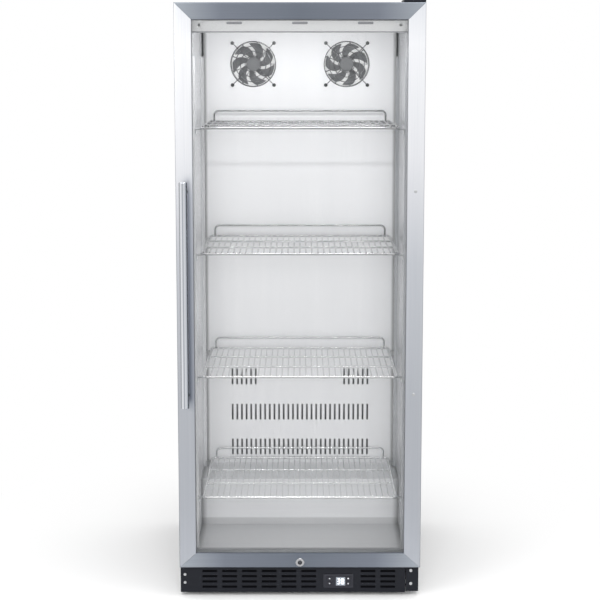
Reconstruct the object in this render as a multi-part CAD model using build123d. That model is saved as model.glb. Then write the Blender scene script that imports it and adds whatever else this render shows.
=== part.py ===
from build123d import *
import math
import os

# A free-standing reach-in refrigerator with one framed glass door, four wire
# shelves, two evaporator fans behind a slotted duct panel, and a compressor
# compartment low at the back. Millimetres, +Z up, the door faces -Y, +X is on
# the right of someone who faces the door. The origin is on the floor, under the
# middle of the whole box that the refrigerator fills.
#
# Depths are written as "d", the distance behind the front face of the door.

os.makedirs("parts", exist_ok=True)

# ---------------------------------------------------------------- overall sizes
WIDTH = 600.0               # outside width of the cabinet and of the door
CABINET_DEPTH = 566.0       # from the cabinet's front face to its rear skin
DOOR_HEIGHT = 1391.0
DOOR_THICK = 45.0
HANDLE_REACH = 50.0         # the handle's front, ahead of the door
BASE_UNDER = 8.0            # floor to the underside of the kick grille
BASE_HEIGHT = 67.0          # height of the kick grille
DOOR_GAP = 2.0              # kick grille to the door's lower edge
HINGE_GAP = 1.0             # the door's top edge to the hinge plate above it
SEAL_SPACE = 9.0            # the door's back to the cabinet's front face

# ---------------------------------------------------------------- sheets, walls
SHELL_SHEET = 1.2
LINER_SHEET = 1.0
TRIM_SHEET = 1.2
SIDE_WALL = 34.0            # outside to the liner's inner face
TOP_WALL = 43.0
BACK_WALL = 55.0
FLOOR_WALL = 36.0

# ---------------------------------------------------------------- clearances
SEAT = 0.3                  # a resting or soft piece and what carries it
BORE_FIT = 0.05             # radial, a turning pin or shaft in its bore
POCKET_FIT = 0.5            # a glass pane in its rebate
BUTTON_FIT = 0.25           # a push button in its hole

# ---------------------------------------------------------------- door
STILE_WIDTH = 42.0
TOP_RAIL = 41.0
BOTTOM_RAIL = 38.0
PANE = 4.0
PANE_COVER = 8.0            # how far the panes run behind the frame
GLAZING_DEPTH = 29.0        # outer face to outer face of the sealed glass unit
GLAZING_FRONT = 6.0
TRIM_RETURN = 38.0          # how far the steel trim wraps round the door's edge
GASKET_WIDTH = 16.0
GASKET_LIP = 1.5            # the gasket stands this far outside the doorway
HANDLE_BAR_R = 10.0
HANDLE_LENGTH = 550.0
HANDLE_POST_PITCH = 500.0
HANDLE_POST_R = 6.0
HANDLE_MIDDLE = 691.0       # above the door's lower edge
PLUG_R = 4.0

# ---------------------------------------------------------------- lock
LOCK_RISE = 14.0            # the lock's axis above the door's lower edge
LOCK_RING_R = 11.0
LOCK_BODY_R = 8.0
LOCK_CYLINDER_R = 5.5
LOCK_DEPTH = 27.0
CAM_LENGTH = 25.0
CAM_WIDTH = 12.0
CAM_THICK = 3.0

# ---------------------------------------------------------------- hinges
HINGE_INSET = 16.0          # the hinge axis from the door's side edge
HINGE_PIN_R = 4.0
HINGE_PIN_GRIP = 20.0       # the pin's length inside the door
HINGE_PLATE = 3.5
HINGE_COVER = 6.0           # height of the top hinge cover
HINGE_COVER_WIDTH = 53.0

# ---------------------------------------------------------------- cabinet inside
STEP_DEPTH = 285.0          # rear skin to the front of the compressor step
STEP_TOP = 209.0
PLENUM_DEPTH = 60.0         # duct panel to the liner's back
SILL_HEIGHT = 12.0          # the sill above the floor
PILASTER_DEEP = 7.0
PILASTER_WIDE = 20.0
PILASTER_SHEET = 1.2
PILASTER_TOP_DROP = 86.0    # ceiling to the pilaster's top
FRONT_PILASTER = 58.0       # cabinet face to the front pilaster
REAR_PILASTER = 30.0        # duct panel to the rear pilaster

# ---------------------------------------------------------------- shelves
SHELF_COUNT = 4
SHELF_SIDE_GAP = 10.0       # pilaster face to the shelf's side
SHELF_SETBACK = 46.0        # cabinet face to the shelf's front
SHELF_REAR_GAP = 17.0       # the shelf's back to the duct panel
LOW_SHELF_RISE = 23.0       # step top to the lowest shelf's top
TOP_SHELF_DROP = 255.0      # ceiling to the highest shelf's top
FRAME_WIRE_R = 3.0
CROSS_WIRE_R = 2.5
DECK_WIRE_R = 1.5
DECK_WIRES = 33
WELD = 0.4                  # how far two welded wires sink into each other
SHELF_CORNER = 10.0
RAIL_WIRE_R = 2.5
RAIL_RISE = 26.0
RAIL_CORNER = 12.0
SLOT_PITCH_WANTED = 26.0

# ---------------------------------------------------------------- fans and duct
FAN_OFFSET = 127.0          # the fan's axis from the middle of the cabinet
FAN_DROP = 106.0            # ceiling to the fan's axis
FAN_SIZE = 127.0
FAN_DEEP = 38.0
FAN_SCREW = 56.5            # half the spacing of the fan's screws
FAN_BORE_R = 60.0
BLADE_R = 57.0
BLADE_HUB_R = 19.5
FAN_SHAFT_R = 3.0
BLADES = 7
GUARD_WIRE_R = 1.1
GUARD_RINGS = (22.0, 35.0, 48.0, 61.0)
DUCT_SLOTS = 30
DUCT_SLOT_PITCH = 13.0
DUCT_SLOT_WIDE = 5.0
DUCT_SLOT_TALL = 45.0
DUCT_SIDE_GAP = 4.0
FINS = 25
FIN_PITCH = 14.0
COIL_TUBE_R = 4.5
COIL_END = 17.0              # the last fin to the end of the coil's straight tubes
TRAY_OVERHANG = 5.0          # the drip tray beyond the coil's tubes
TRAY_SHEET = 1.5

# ---------------------------------------------------------------- light header
HEADER_TALL = 28.0
HEADER_SETBACK = 12.0
HEADER_DEEP = 34.0
HEADER_CAP = 32.0

# ---------------------------------------------------------------- base, grille
GRILLE_SETBACK = 16.0
GRILLE_PLATE = 3.0
GRILLE_COLUMNS = 10
GRILLE_PITCH = 49.6
GRILLE_FIRST = 74.0         # the first column's middle from the left edge
GRILLE_SLOT_WIDE = 37.0
GRILLE_SLOT_TALL = 6.0
GRILLE_ROWS = 4
GRILLE_ROW_PITCH = 13.65
GRILLE_FIRST_ROW = 14.0
CONTROL_WIDE = 75.0
CONTROL_TALL = 36.0
CONTROL_DEEP = 36.0
BUTTON_WIDE = 13.0
BUTTON_TALL = 8.0
BUTTON_TRAVEL = 0.8
BUTTON_BODY = 4.2            # the button behind the bezel's face
BUTTON_ROOM = 1.0            # left behind a button that is pressed in fully
RAIL_SHEET = 2.0
RAIL_WIDE = 25.0
RAIL_TALL = 32.0
RAIL_BOTTOM = 14.0
FOOT_R = 16.0
FOOT_TALL = 6.0
FOOT_STEM_R = 4.0
FOOT_STEM = 28.0
FOOT_INSET = 16.0
FOOT_FRONT = 90.0
FOOT_REAR = 30.0            # rear skin to the rear foot's axis

# ---------------------------------------------------------------- derived places
HALF = WIDTH / 2
CABINET_FRONT = DOOR_THICK + SEAL_SPACE
REAR = CABINET_FRONT + CABINET_DEPTH
OVERALL_DEPTH = HANDLE_REACH + REAR
BASE_TOP = BASE_UNDER + BASE_HEIGHT
DOOR_BOTTOM = BASE_TOP + DOOR_GAP
DOOR_TOP = DOOR_BOTTOM + DOOR_HEIGHT
CABINET_TOP = DOOR_TOP + HINGE_GAP
INNER = HALF - SIDE_WALL
CEILING = CABINET_TOP - TOP_WALL
SLAB_UNDER = DOOR_BOTTOM - 30.0
FLOOR = SLAB_UNDER + FLOOR_WALL
SILL = FLOOR + SILL_HEIGHT
LINER_BACK = REAR - BACK_WALL
DUCT = LINER_BACK - PLENUM_DEPTH
STEP_FRONT = REAR - STEP_DEPTH
MACHINE_FRONT = STEP_FRONT + 38.0
MACHINE_TOP = STEP_TOP - 38.0
HINGE_X = HALF - HINGE_INSET
HINGE_D = DOOR_THICK / 2
PILASTER_FACE = INNER - PILASTER_DEEP
SHELF_HALF = PILASTER_FACE - SHELF_SIDE_GAP
SHELF_FRONT = CABINET_FRONT + SHELF_SETBACK
SHELF_BACK = DUCT - SHELF_REAR_GAP
SHELF_LOW = STEP_TOP + LOW_SHELF_RISE
SHELF_HIGH = CEILING - TOP_SHELF_DROP
SHELF_PITCH = (SHELF_HIGH - SHELF_LOW) / (SHELF_COUNT - 1)
SHELF_LEVELS = [SHELF_HIGH - i * SHELF_PITCH for i in range(SHELF_COUNT)]
FAN_Z = CEILING - FAN_DROP
OPEN_X = HALF - STILE_WIDTH
OPEN_LOW = DOOR_BOTTOM + BOTTOM_RAIL
OPEN_HIGH = DOOR_TOP - TOP_RAIL
LOCK_Z = DOOR_BOTTOM + LOCK_RISE
HANDLE_X = HALF - STILE_WIDTH / 2
HANDLE_Z = DOOR_BOTTOM + HANDLE_MIDDLE
GRILLE_BACK = GRILLE_SETBACK + GRILLE_PLATE
RAIL_OUT = HALF - 3.2
RAIL_TOP = RAIL_BOTTOM + RAIL_TALL
DOORWAY_X = INNER - 2.0
DOORWAY_HIGH = CEILING + 1.0


# ---------------------------------------------------------------- helpers
def y_of(d):
    """The y of a plane that lies d behind the door's front face."""
    return d + HANDLE_REACH - OVERALL_DEPTH / 2


def block(x, d, z):
    """A box from its (low, high) pairs in x, in depth and in z."""
    size = Box(x[1] - x[0], d[1] - d[0], z[1] - z[0], align=(Align.MIN, Align.MIN, Align.MIN))
    return Pos(x[0], y_of(d[0]), z[0]) * size


def post_z(x, d, z, radius):
    """An upright cylinder over the (low, high) pair z."""
    rod = Cylinder(radius, z[1] - z[0], align=(Align.CENTER, Align.CENTER, Align.MIN))
    return Pos(x, y_of(d), z[0]) * rod


def post_d(x, d, z, radius):
    """A cylinder that runs front to back over the (low, high) pair d."""
    rod = Cylinder(radius, d[1] - d[0], align=(Align.CENTER, Align.CENTER, Align.MIN))
    return Pos(x, y_of(d[0]), z) * Rot(X=-90) * rod


def post_x(x, d, z, radius):
    """A cylinder that runs left to right over the (low, high) pair x."""
    rod = Cylinder(radius, x[1] - x[0], align=(Align.CENTER, Align.CENTER, Align.MIN))
    return Pos(x[0], y_of(d), z) * Rot(Y=90) * rod


def bent_wire(corners, radius, bend):
    """A round wire through corners given as (x, d, z), with every turn rounded."""
    points = [Vector(x, y_of(d), z) for x, d, z in corners]
    path = FilletPolyline(*points, radius=bend)
    start = Plane(origin=path @ 0, z_dir=path % 0)
    return sweep(start * Circle(radius), path=path)


def ring(outer, inner, d):
    """A rectangular ring. outer and inner are (half width, low z, high z)."""
    body = block((-outer[0], outer[0]), d, (outer[1], outer[2]))
    return body - block((-inner[0], inner[0]), (d[0] - 1, d[1] + 1), (inner[1], inner[2]))


def mitred(body, outer, inner, d):
    """Splits a ring at its corners into left, right, bottom and top members."""
    ox, ol, oh = outer
    ix, il, ih = inner
    outlines = {
        "left": [(-ox, ol), (-ix, il), (-ix, ih), (-ox, oh)],
        "right": [(ox, ol), (ox, oh), (ix, ih), (ix, il)],
        "bottom": [(-ox, ol), (ox, ol), (ix, il), (-ix, il)],
        "top": [(-ox, oh), (-ix, ih), (ix, ih), (ox, oh)],
    }
    members = {}
    for name, points in outlines.items():
        plane = Plane(origin=(0, y_of(d[0]), 0), x_dir=(1, 0, 0), z_dir=(0, -1, 0))
        wedge = extrude(plane * make_face(Polyline(*points, close=True)), -(d[1] - d[0]))
        members[name] = body & wedge
    return members


def solids_of(pieces):
    """Puts pieces that stay separate solids into one node."""
    return Compound([solid for piece in pieces for solid in piece.solids()])


def screw(x, d, z, head_r, head, shank_r, shank):
    """A pan-head screw that points backwards. d is the face that its head sits on."""
    body = post_d(x, (d - head, d), z, head_r) + post_d(x, (d, d + shank), z, shank_r)
    return body - block((x - head_r, x + head_r), (d - head, d - head / 2), (z - 0.4, z + 0.4))


# ---------------------------------------------------------------- cabinet shell
def make_shell():
    side = (BASE_UNDER + 4, CABINET_TOP)
    behind = (CABINET_FRONT + SHELL_SHEET, REAR)
    inside = HALF - SHELL_SHEET
    rear_split = MACHINE_TOP + 1.0
    shell = {
        "shell_left": block((-HALF, -inside), behind, side),
        "shell_right": block((inside, HALF), behind, side),
        "shell_top": block((-inside, inside), behind, (CABINET_TOP - SHELL_SHEET, CABINET_TOP))
        - hinge_screw_shanks(),
        "shell_rear": block((-inside, inside), (REAR - SHELL_SHEET, REAR),
                            (rear_split, CABINET_TOP - SHELL_SHEET)),
    }
    cover = block((-inside, inside), (REAR - SHELL_SHEET, REAR), (RAIL_BOTTOM, rear_split - 0.5))
    louvres = []
    for column in (-1, 1):
        for row in range(7):
            z = RAIL_BOTTOM + 26 + row * 16
            x = column * 120.0
            louvres.append(block((x - 80, x + 80), (REAR - 5, REAR + 5), (z, z + 5)))
    shell["machine_rear_cover"] = cover - louvres
    return shell


def make_front_frame():
    """The painted ring that the gasket closes on."""
    outer = (HALF, DOOR_BOTTOM, CABINET_TOP)
    inner = (DOORWAY_X, SILL, DOORWAY_HIGH)
    depth = (CABINET_FRONT, CABINET_FRONT + SHELL_SHEET)
    members = mitred(ring(outer, inner, depth), outer, inner, depth)
    return solids_of(members.values())


def make_foam():
    """One body of insulation between shell and liner, with the machine space cut out."""
    inside = HALF - SHELL_SHEET
    front = CABINET_FRONT + SHELL_SHEET
    liner = INNER + LINER_SHEET
    body = block((-inside, inside), (front, REAR - SHELL_SHEET), (SLAB_UNDER, CABINET_TOP - SHELL_SHEET))
    cavity = block((-liner, liner), (front - 1, LINER_BACK + LINER_SHEET),
                   (FLOOR - LINER_SHEET, CEILING + LINER_SHEET))
    step = block((-liner, liner), (STEP_FRONT + LINER_SHEET, LINER_BACK + LINER_SHEET),
                 (FLOOR - LINER_SHEET, STEP_TOP - LINER_SHEET))
    machine = block((-HALF, HALF), (MACHINE_FRONT, REAR + 1), (SLAB_UNDER - 1, MACHINE_TOP))
    sill = block((-INNER, INNER), (front, CABINET_FRONT + 28), (FLOOR - LINER_SHEET, SILL - LINER_SHEET))
    return body - cavity + step + sill - machine - pipe_holes() - hinge_screw_shanks()


# ---------------------------------------------------------------- liner
def make_liner():
    front = CABINET_FRONT + SHELL_SHEET
    out = INNER + LINER_SHEET
    rear = (front, LINER_BACK)
    liner = {
        "liner_left": block((-out, -INNER), rear, (FLOOR, CEILING)),
        "liner_right": block((INNER, out), rear, (FLOOR, CEILING)),
        "liner_ceiling": block((-out, out), (front, LINER_BACK), (CEILING, CEILING + LINER_SHEET)),
        "liner_back": block((-out, out), (LINER_BACK, LINER_BACK + LINER_SHEET),
                            (STEP_TOP, CEILING + LINER_SHEET)),
        "liner_floor": block((-INNER, INNER), (front, STEP_FRONT), (FLOOR - LINER_SHEET, FLOOR)),
    }
    below_step = (FLOOR - 1, STEP_TOP - LINER_SHEET)
    for side in ("liner_left", "liner_right"):
        liner[side] -= block((-HALF, HALF), (STEP_FRONT + LINER_SHEET, REAR), below_step)
    sill_back = CABINET_FRONT + 28
    sill = block((-INNER, INNER), (front, sill_back), (SILL - LINER_SHEET, SILL))
    sill += block((-INNER, INNER), (sill_back, sill_back + LINER_SHEET), (FLOOR, SILL))
    liner["liner_floor"] -= block((-INNER, INNER), (front - 1, sill_back), (FLOOR - 5, FLOOR + 5))
    liner["liner_sill"] = sill
    step_top = block((-INNER, INNER), (STEP_FRONT, LINER_BACK), (STEP_TOP - LINER_SHEET, STEP_TOP))
    step_face = block((-INNER, INNER), (STEP_FRONT, STEP_FRONT + LINER_SHEET), (FLOOR, STEP_TOP))
    liner["liner_step"] = step_top + step_face - pipe_holes()
    return liner


def make_pilasters():
    """Four slotted channels for the shelf clips. The slots line up with the shelves."""
    slots_between = round(SHELF_PITCH / SLOT_PITCH_WANTED)
    slot_pitch = SHELF_PITCH / slots_between
    top = CEILING - PILASTER_TOP_DROP
    channels = []
    for side in (-1, 1):
        for middle, low in ((pilaster_middles()[0], FLOOR + 6), (pilaster_middles()[1], STEP_TOP + 1)):
            wide = (middle - PILASTER_WIDE / 2, middle + PILASTER_WIDE / 2)
            body = side_block(side, (PILASTER_FACE, INNER), wide, (low, top))
            hollow = (wide[0] + PILASTER_SHEET, wide[1] - PILASTER_SHEET)
            body -= side_block(side, (PILASTER_FACE + PILASTER_SHEET, INNER + 1), hollow, (low - 1, top + 1))
            holes = []
            level = SHELF_LOW - clip_drop()
            while level - slot_pitch > low + 6:
                level -= slot_pitch
            while level < top - 6:
                hole_d = (middle - 2.5, middle + 2.5)
                holes.append(side_block(side, (PILASTER_FACE - 1, PILASTER_FACE + 2), hole_d,
                                        (level - 4, level + 4)))
                level += slot_pitch
            channels.append(body - holes)
    return solids_of(channels)


def pilaster_middles():
    """Depths of the front and the rear pilasters' middles."""
    front = CABINET_FRONT + FRONT_PILASTER + PILASTER_WIDE / 2
    return front, DUCT - REAR_PILASTER - PILASTER_WIDE / 2


def side_block(side, x, d, z):
    """A box at x from the middle, mirrored to the left when side is -1."""
    low, high = sorted((side * x[0], side * x[1]))
    return block((low, high), d, z)


def clip_drop():
    """From the shelf's top level down to the middle of its clips' lugs."""
    return frame_wire_drop() + FRAME_WIRE_R + SEAT + 6.0


def make_clips():
    """Bent clips, two a side for each shelf: tongue, back plate, lug in the slot."""
    clips = []
    for level in SHELF_LEVELS:
        top = level - frame_wire_drop() - FRAME_WIRE_R - SEAT
        for side in (-1, 1):
            for middle in pilaster_middles():
                wide = (middle - 7, middle + 7)
                tongue = side_block(side, (SHELF_HALF - 8, PILASTER_FACE), wide, (top - 1.5, top))
                plate = side_block(side, (PILASTER_FACE - 1.5, PILASTER_FACE), wide, (top - 12, top))
                lug = side_block(side, (PILASTER_FACE, PILASTER_FACE + 4), (middle - 2, middle + 2),
                                 (top - 9, top - 3))
                clips.append(tongue + plate + lug)
    return solids_of(clips)


# ---------------------------------------------------------------- shelves
def frame_wire_drop():
    """From the deck wires' top down to the middle of the wire frame."""
    return 2 * DECK_WIRE_R - WELD + FRAME_WIRE_R


def deck_wire_span():
    """Distance between the first and the last deck wire."""
    return 2 * (SHELF_HALF - 2 * FRAME_WIRE_R - 3.0)


def make_shelf(level):
    """A wire frame with rounded corners, two cross wires and a deck of thin wires."""
    z = level - frame_wire_drop()
    x = SHELF_HALF - FRAME_WIRE_R
    front = SHELF_FRONT + FRAME_WIRE_R
    back = SHELF_BACK - FRAME_WIRE_R
    half_loop = [(0, front, z), (x, front, z), (x, back, z), (0, back, z)]
    right = bent_wire(half_loop, FRAME_WIRE_R, SHELF_CORNER)
    left = right.mirror(Plane.YZ)
    cross_z = level - 2 * DECK_WIRE_R + WELD - CROSS_WIRE_R
    wires = []
    for share in (1 / 3, 2 / 3):
        d = front + share * (back - front)
        wires.append(post_x((1 - x, x - 1), d, cross_z, CROSS_WIRE_R))
    span = deck_wire_span()
    for i in range(DECK_WIRES):
        wire_x = -span / 2 + i * span / (DECK_WIRES - 1)
        wires.append(post_d(wire_x, (SHELF_FRONT + 1.5, SHELF_BACK - 1.5), level - DECK_WIRE_R, DECK_WIRE_R))
    return right + left + wires


def make_shelf_rail(level):
    """The raised wire along the shelf's back, which stops things at the duct panel."""
    pitch = deck_wire_span() / (DECK_WIRES - 1)
    x = deck_wire_span() / 2 - pitch / 2
    d = SHELF_BACK - FRAME_WIRE_R
    low = level - frame_wire_drop() + FRAME_WIRE_R
    high = level + RAIL_RISE - RAIL_WIRE_R
    return bent_wire([(-x, d, low), (-x, d, high), (x, d, high), (x, d, low)], RAIL_WIRE_R, RAIL_CORNER)


# ---------------------------------------------------------------- duct and fans
def make_duct_panel():
    x = INNER - DUCT_SIDE_GAP
    face = (DUCT, DUCT + SHELL_SHEET)
    panel = block((-x, x), face, (STEP_TOP, CEILING))
    for side in (-1, 1):
        panel += side_block(side, (x - SHELL_SHEET, x), (DUCT, LINER_BACK), (STEP_TOP, CEILING))
    cuts = []
    for side in (-1, 1):
        cuts.append(post_d(side * FAN_OFFSET, (DUCT - 1, DUCT + 5), FAN_Z, FAN_BORE_R))
        for screw_x, screw_z in fan_screws(side):
            cuts.append(post_d(screw_x, (DUCT - 1, DUCT + 5), screw_z, 2.0))
    rows = ((STEP_TOP + 45, range(DUCT_SLOTS)), (STEP_TOP + 145, range(DUCT_SLOTS)),
            (STEP_TOP + 246, [i for i in range(DUCT_SLOTS) if i < 6 or i >= DUCT_SLOTS - 6]))
    for z, columns in rows:
        for i in columns:
            slot_x = (i - (DUCT_SLOTS - 1) / 2) * DUCT_SLOT_PITCH
            cuts.append(block((slot_x - DUCT_SLOT_WIDE / 2, slot_x + DUCT_SLOT_WIDE / 2),
                              (DUCT - 1, DUCT + 5), (z - DUCT_SLOT_TALL / 2, z + DUCT_SLOT_TALL / 2)))
    return panel - cuts


def fan_screws(side):
    """Middles of one fan's four screws, as (x, z)."""
    return [(side * FAN_OFFSET + sx * FAN_SCREW, FAN_Z + sz * FAN_SCREW)
            for sx in (-1, 1) for sz in (-1, 1)]


def make_fan_frame(side):
    """Square venturi frame, with the motor held on four struts at its back."""
    x = side * FAN_OFFSET
    front = DUCT + SHELL_SHEET
    back = front + FAN_DEEP
    half = FAN_SIZE / 2
    frame = block((x - half, x + half), (front, back), (FAN_Z - half, FAN_Z + half))
    frame = fillet(frame.edges().filter_by(Axis.Y), 5.0)
    frame -= post_d(x, (front - 1, back + 1), FAN_Z, FAN_BORE_R)
    motor_front = back - 14.0
    frame += post_d(x, (motor_front, back), FAN_Z, BLADE_HUB_R)
    frame += post_d(x, (front + 5, motor_front), FAN_Z, FAN_SHAFT_R)
    reach = FAN_BORE_R + 1.0
    frame += block((x - reach, x + reach), (back - 5, back), (FAN_Z - 3, FAN_Z + 3))
    frame += block((x - 3, x + 3), (back - 5, back), (FAN_Z - reach, FAN_Z + reach))
    holes = [post_d(sx, (front - 1, back + 1), sz, 2.0) for sx, sz in fan_screws(side)]
    return frame - holes


def make_rotor(hub_r, tip_r, deep, count, hand, shaft_r):
    """A fan rotor about +Z from z = 0: a cup hub and swept, pitched blades."""
    hub = Cylinder(hub_r, deep, align=(Align.CENTER, Align.CENTER, Align.MIN))
    reach = tip_r + 6.0
    outline = make_face([
        ThreePointArc((hub_r - 4, -13), (tip_r * 0.62, -18), (reach, 3)),
        Line((reach, 3), (reach, 30)),
        ThreePointArc((reach, 30), (tip_r * 0.55, 10), (hub_r - 4, 11)),
        Line((hub_r - 4, 11), (hub_r - 4, -13)),
    ])
    blade = Pos(0, 0, deep / 2) * Rot(X=hand * 24.0) * Pos(0, 0, -0.8) * extrude(outline, 1.6)
    rotor = hub
    for i in range(count):
        rotor += Rot(Z=i * 360.0 / count) * blade
    rotor &= Cylinder(tip_r, deep, align=(Align.CENTER, Align.CENTER, Align.MIN))
    rotor -= Cylinder(shaft_r + BORE_FIT, 3 * deep)
    return rotor


def make_fan_blade(side):
    rotor = make_rotor(BLADE_HUB_R, BLADE_R, 18.0, BLADES, 1, FAN_SHAFT_R)
    if side > 0:
        rotor = rotor.mirror(Plane.YZ)
    return Pos(side * FAN_OFFSET, y_of(DUCT + SHELL_SHEET + 4.5), FAN_Z) * Rot(X=-90) * rotor


def hoop(radius, wire):
    """A flat-sided ring about +Z, wire thick and wire wide, from z = 0."""
    outer = Cylinder(radius + wire / 2, wire, align=(Align.CENTER, Align.CENTER, Align.MIN))
    return outer - Cylinder(radius - wire / 2, 4 * wire)


def make_fan_guard(side):
    """Rings with four legs behind them that end in eyes under the fan's screws."""
    wire = 2 * GUARD_WIRE_R
    reach = FAN_SCREW * math.sqrt(2)
    start = GUARD_RINGS[0] - wire / 2
    legs = []
    for quarter in range(4):
        turn = Rot(Z=45 + 90 * quarter)
        leg = Box(reach - 3.0 - start, wire, wire, align=(Align.MIN, Align.CENTER, Align.MIN))
        legs.append(turn * Pos(start, 0, 0) * leg)
        legs.append(turn * Pos(reach, 0, 0) * hoop(3.9, wire))
    rings = [Pos(0, 0, WELD - wire) * hoop(radius, wire) for radius in GUARD_RINGS]
    guard = legs[0] + legs[1:] + rings
    return Pos(side * FAN_OFFSET, y_of(DUCT - wire), FAN_Z) * Rot(X=-90) * guard


def make_guard_screws():
    face = DUCT - 2 * GUARD_WIRE_R
    screws = []
    for side in (-1, 1):
        for x, z in fan_screws(side):
            screws.append(screw(x, face, z, 4.6, 2.2, 1.9, 14.0))
    return solids_of(screws)


def coil_heights():
    return STEP_TOP + 350, STEP_TOP + 550


def coil_rows():
    """Levels of the evaporator's five rows of tube."""
    low, high = coil_heights()
    return [low + 20 + row * (high - low) / 5 for row in range(5)]


def coil_half_width():
    """Half the length of the coil's straight tubes."""
    return (FINS - 1) / 2 * FIN_PITCH + COIL_END


def make_evaporator():
    """Finned coil that hangs on the liner's back inside the plenum."""
    low, high = coil_heights()
    front, back = DUCT + 14, LINER_BACK
    fins = []
    coil_half = coil_half_width()
    for i in range(FINS):
        x = (i - (FINS - 1) / 2) * FIN_PITCH
        fins.append(block((x - 0.5, x + 0.5), (front, back), (low, high)))
    tubes = []
    for z in coil_rows():
        for d in (front + 12, back - 12):
            tubes.append(post_x((-coil_half, coil_half), d, z, COIL_TUBE_R))
        for side in (-1, 1):
            tubes.append(side_block(side, (coil_half - 4, coil_half + 0.5), (front + 8, back - 8),
                                    (z - COIL_TUBE_R, z + COIL_TUBE_R)))
    return tubes[0] + tubes[1:] + fins


def make_drip_tray():
    """Tray under the coil, with a spout that the drain tube slides over."""
    top = STEP_TOP + 345
    front, back = DUCT + 8, LINER_BACK
    half = coil_half_width() + TRAY_OVERHANG
    inside = half - TRAY_SHEET
    tray = block((-half, half), (front, back), (top - 25, top))
    tray -= block((-inside, inside), (front + TRAY_SHEET, back - TRAY_SHEET),
                  (top - 25 + TRAY_SHEET, top + 1))
    drain_x, drain_d = drain_place()
    tray += post_z(drain_x, drain_d, (top - 40, top - 24), 6.0)
    return tray - post_z(drain_x, drain_d, (top - 41, top + 1), 4.0)


def drain_place():
    return -60.0, DUCT + 34.0


def suction_place():
    return 235.0, DUCT + 34.0


def liquid_place():
    return 215.0, DUCT + 34.0


def pipe_holes():
    """Clear holes for the pipes that pass down through the step."""
    span = (MACHINE_TOP - 2, STEP_TOP + 1)
    places = ((drain_place(), 9.0), (suction_place(), 6.0), (liquid_place(), 3.5))
    return [post_z(x, d, span, radius) for (x, d), radius in places]


# ---------------------------------------------------------------- light header
def header_places():
    """(low z, high z, front depth, back depth) of the light header."""
    front = CABINET_FRONT + HEADER_SETBACK
    return CEILING - HEADER_TALL, CEILING, front, front + HEADER_DEEP


def make_header():
    low, high, front, back = header_places()
    inside = INNER - DUCT_SIDE_GAP - HEADER_CAP
    housing = block((-inside, inside), (front + 6, back), (low, high))
    housing -= block((-inside - 1, inside + 1), (front + 5, back - 1.5), (low + 1.5, high - 1.5))
    diffuser = block((-inside, inside), (front, front + 6), (low, high - 0.5))
    diffuser -= [block((x - 19.5, x + 19.5), (front - 1, front + 2), (high - 8.5, high - 2))
                 for x in (-159.0, 0.0, 159.0)]
    board = block((-inside + 6, inside - 6), (back - 3.1, back - 1.5), (low + 7, high - 7))
    end = inside + HEADER_CAP
    caps = [side_block(side, (inside, end), (front, back), (low, high)) for side in (-1, 1)]
    screws = []
    for side in (-1, 1):
        screws.append(screw(side * (inside + 14), front, high - 10, 3.2, 1.8, 1.6, 8.0))
    holes = [post_d(side * (inside + 14), (front - 1, front + 9), high - 10, 1.6) for side in (-1, 1)]
    return {
        "header_housing": housing,
        "header_diffuser": diffuser,
        "header_light_board": board,
        "header_end_caps": solids_of([cap - holes for cap in caps]),
        "header_screws": solids_of(screws),
    }


# ---------------------------------------------------------------- door
def hinge_bores():
    """Bores for the hinge pins in the door's top and bottom edges."""
    top = post_z(HINGE_X, HINGE_D, (DOOR_TOP - HINGE_PIN_GRIP - 2, DOOR_TOP + 1), HINGE_PIN_R + BORE_FIT)
    bottom = post_z(HINGE_X, HINGE_D, (DOOR_BOTTOM - 1, DOOR_BOTTOM + HINGE_PIN_GRIP + 2),
                    HINGE_PIN_R + BORE_FIT)
    return [top, bottom]


def cam_pocket():
    """The space in the bottom rail that the lock's cam turns in, open downwards."""
    return block((-CAM_WIDTH / 2 - 2, CAM_LENGTH + 3), (LOCK_DEPTH + 0.2, LOCK_DEPTH + CAM_THICK + 3),
                 (DOOR_BOTTOM - 1, LOCK_Z + CAM_WIDTH / 2 + 2))


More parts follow.
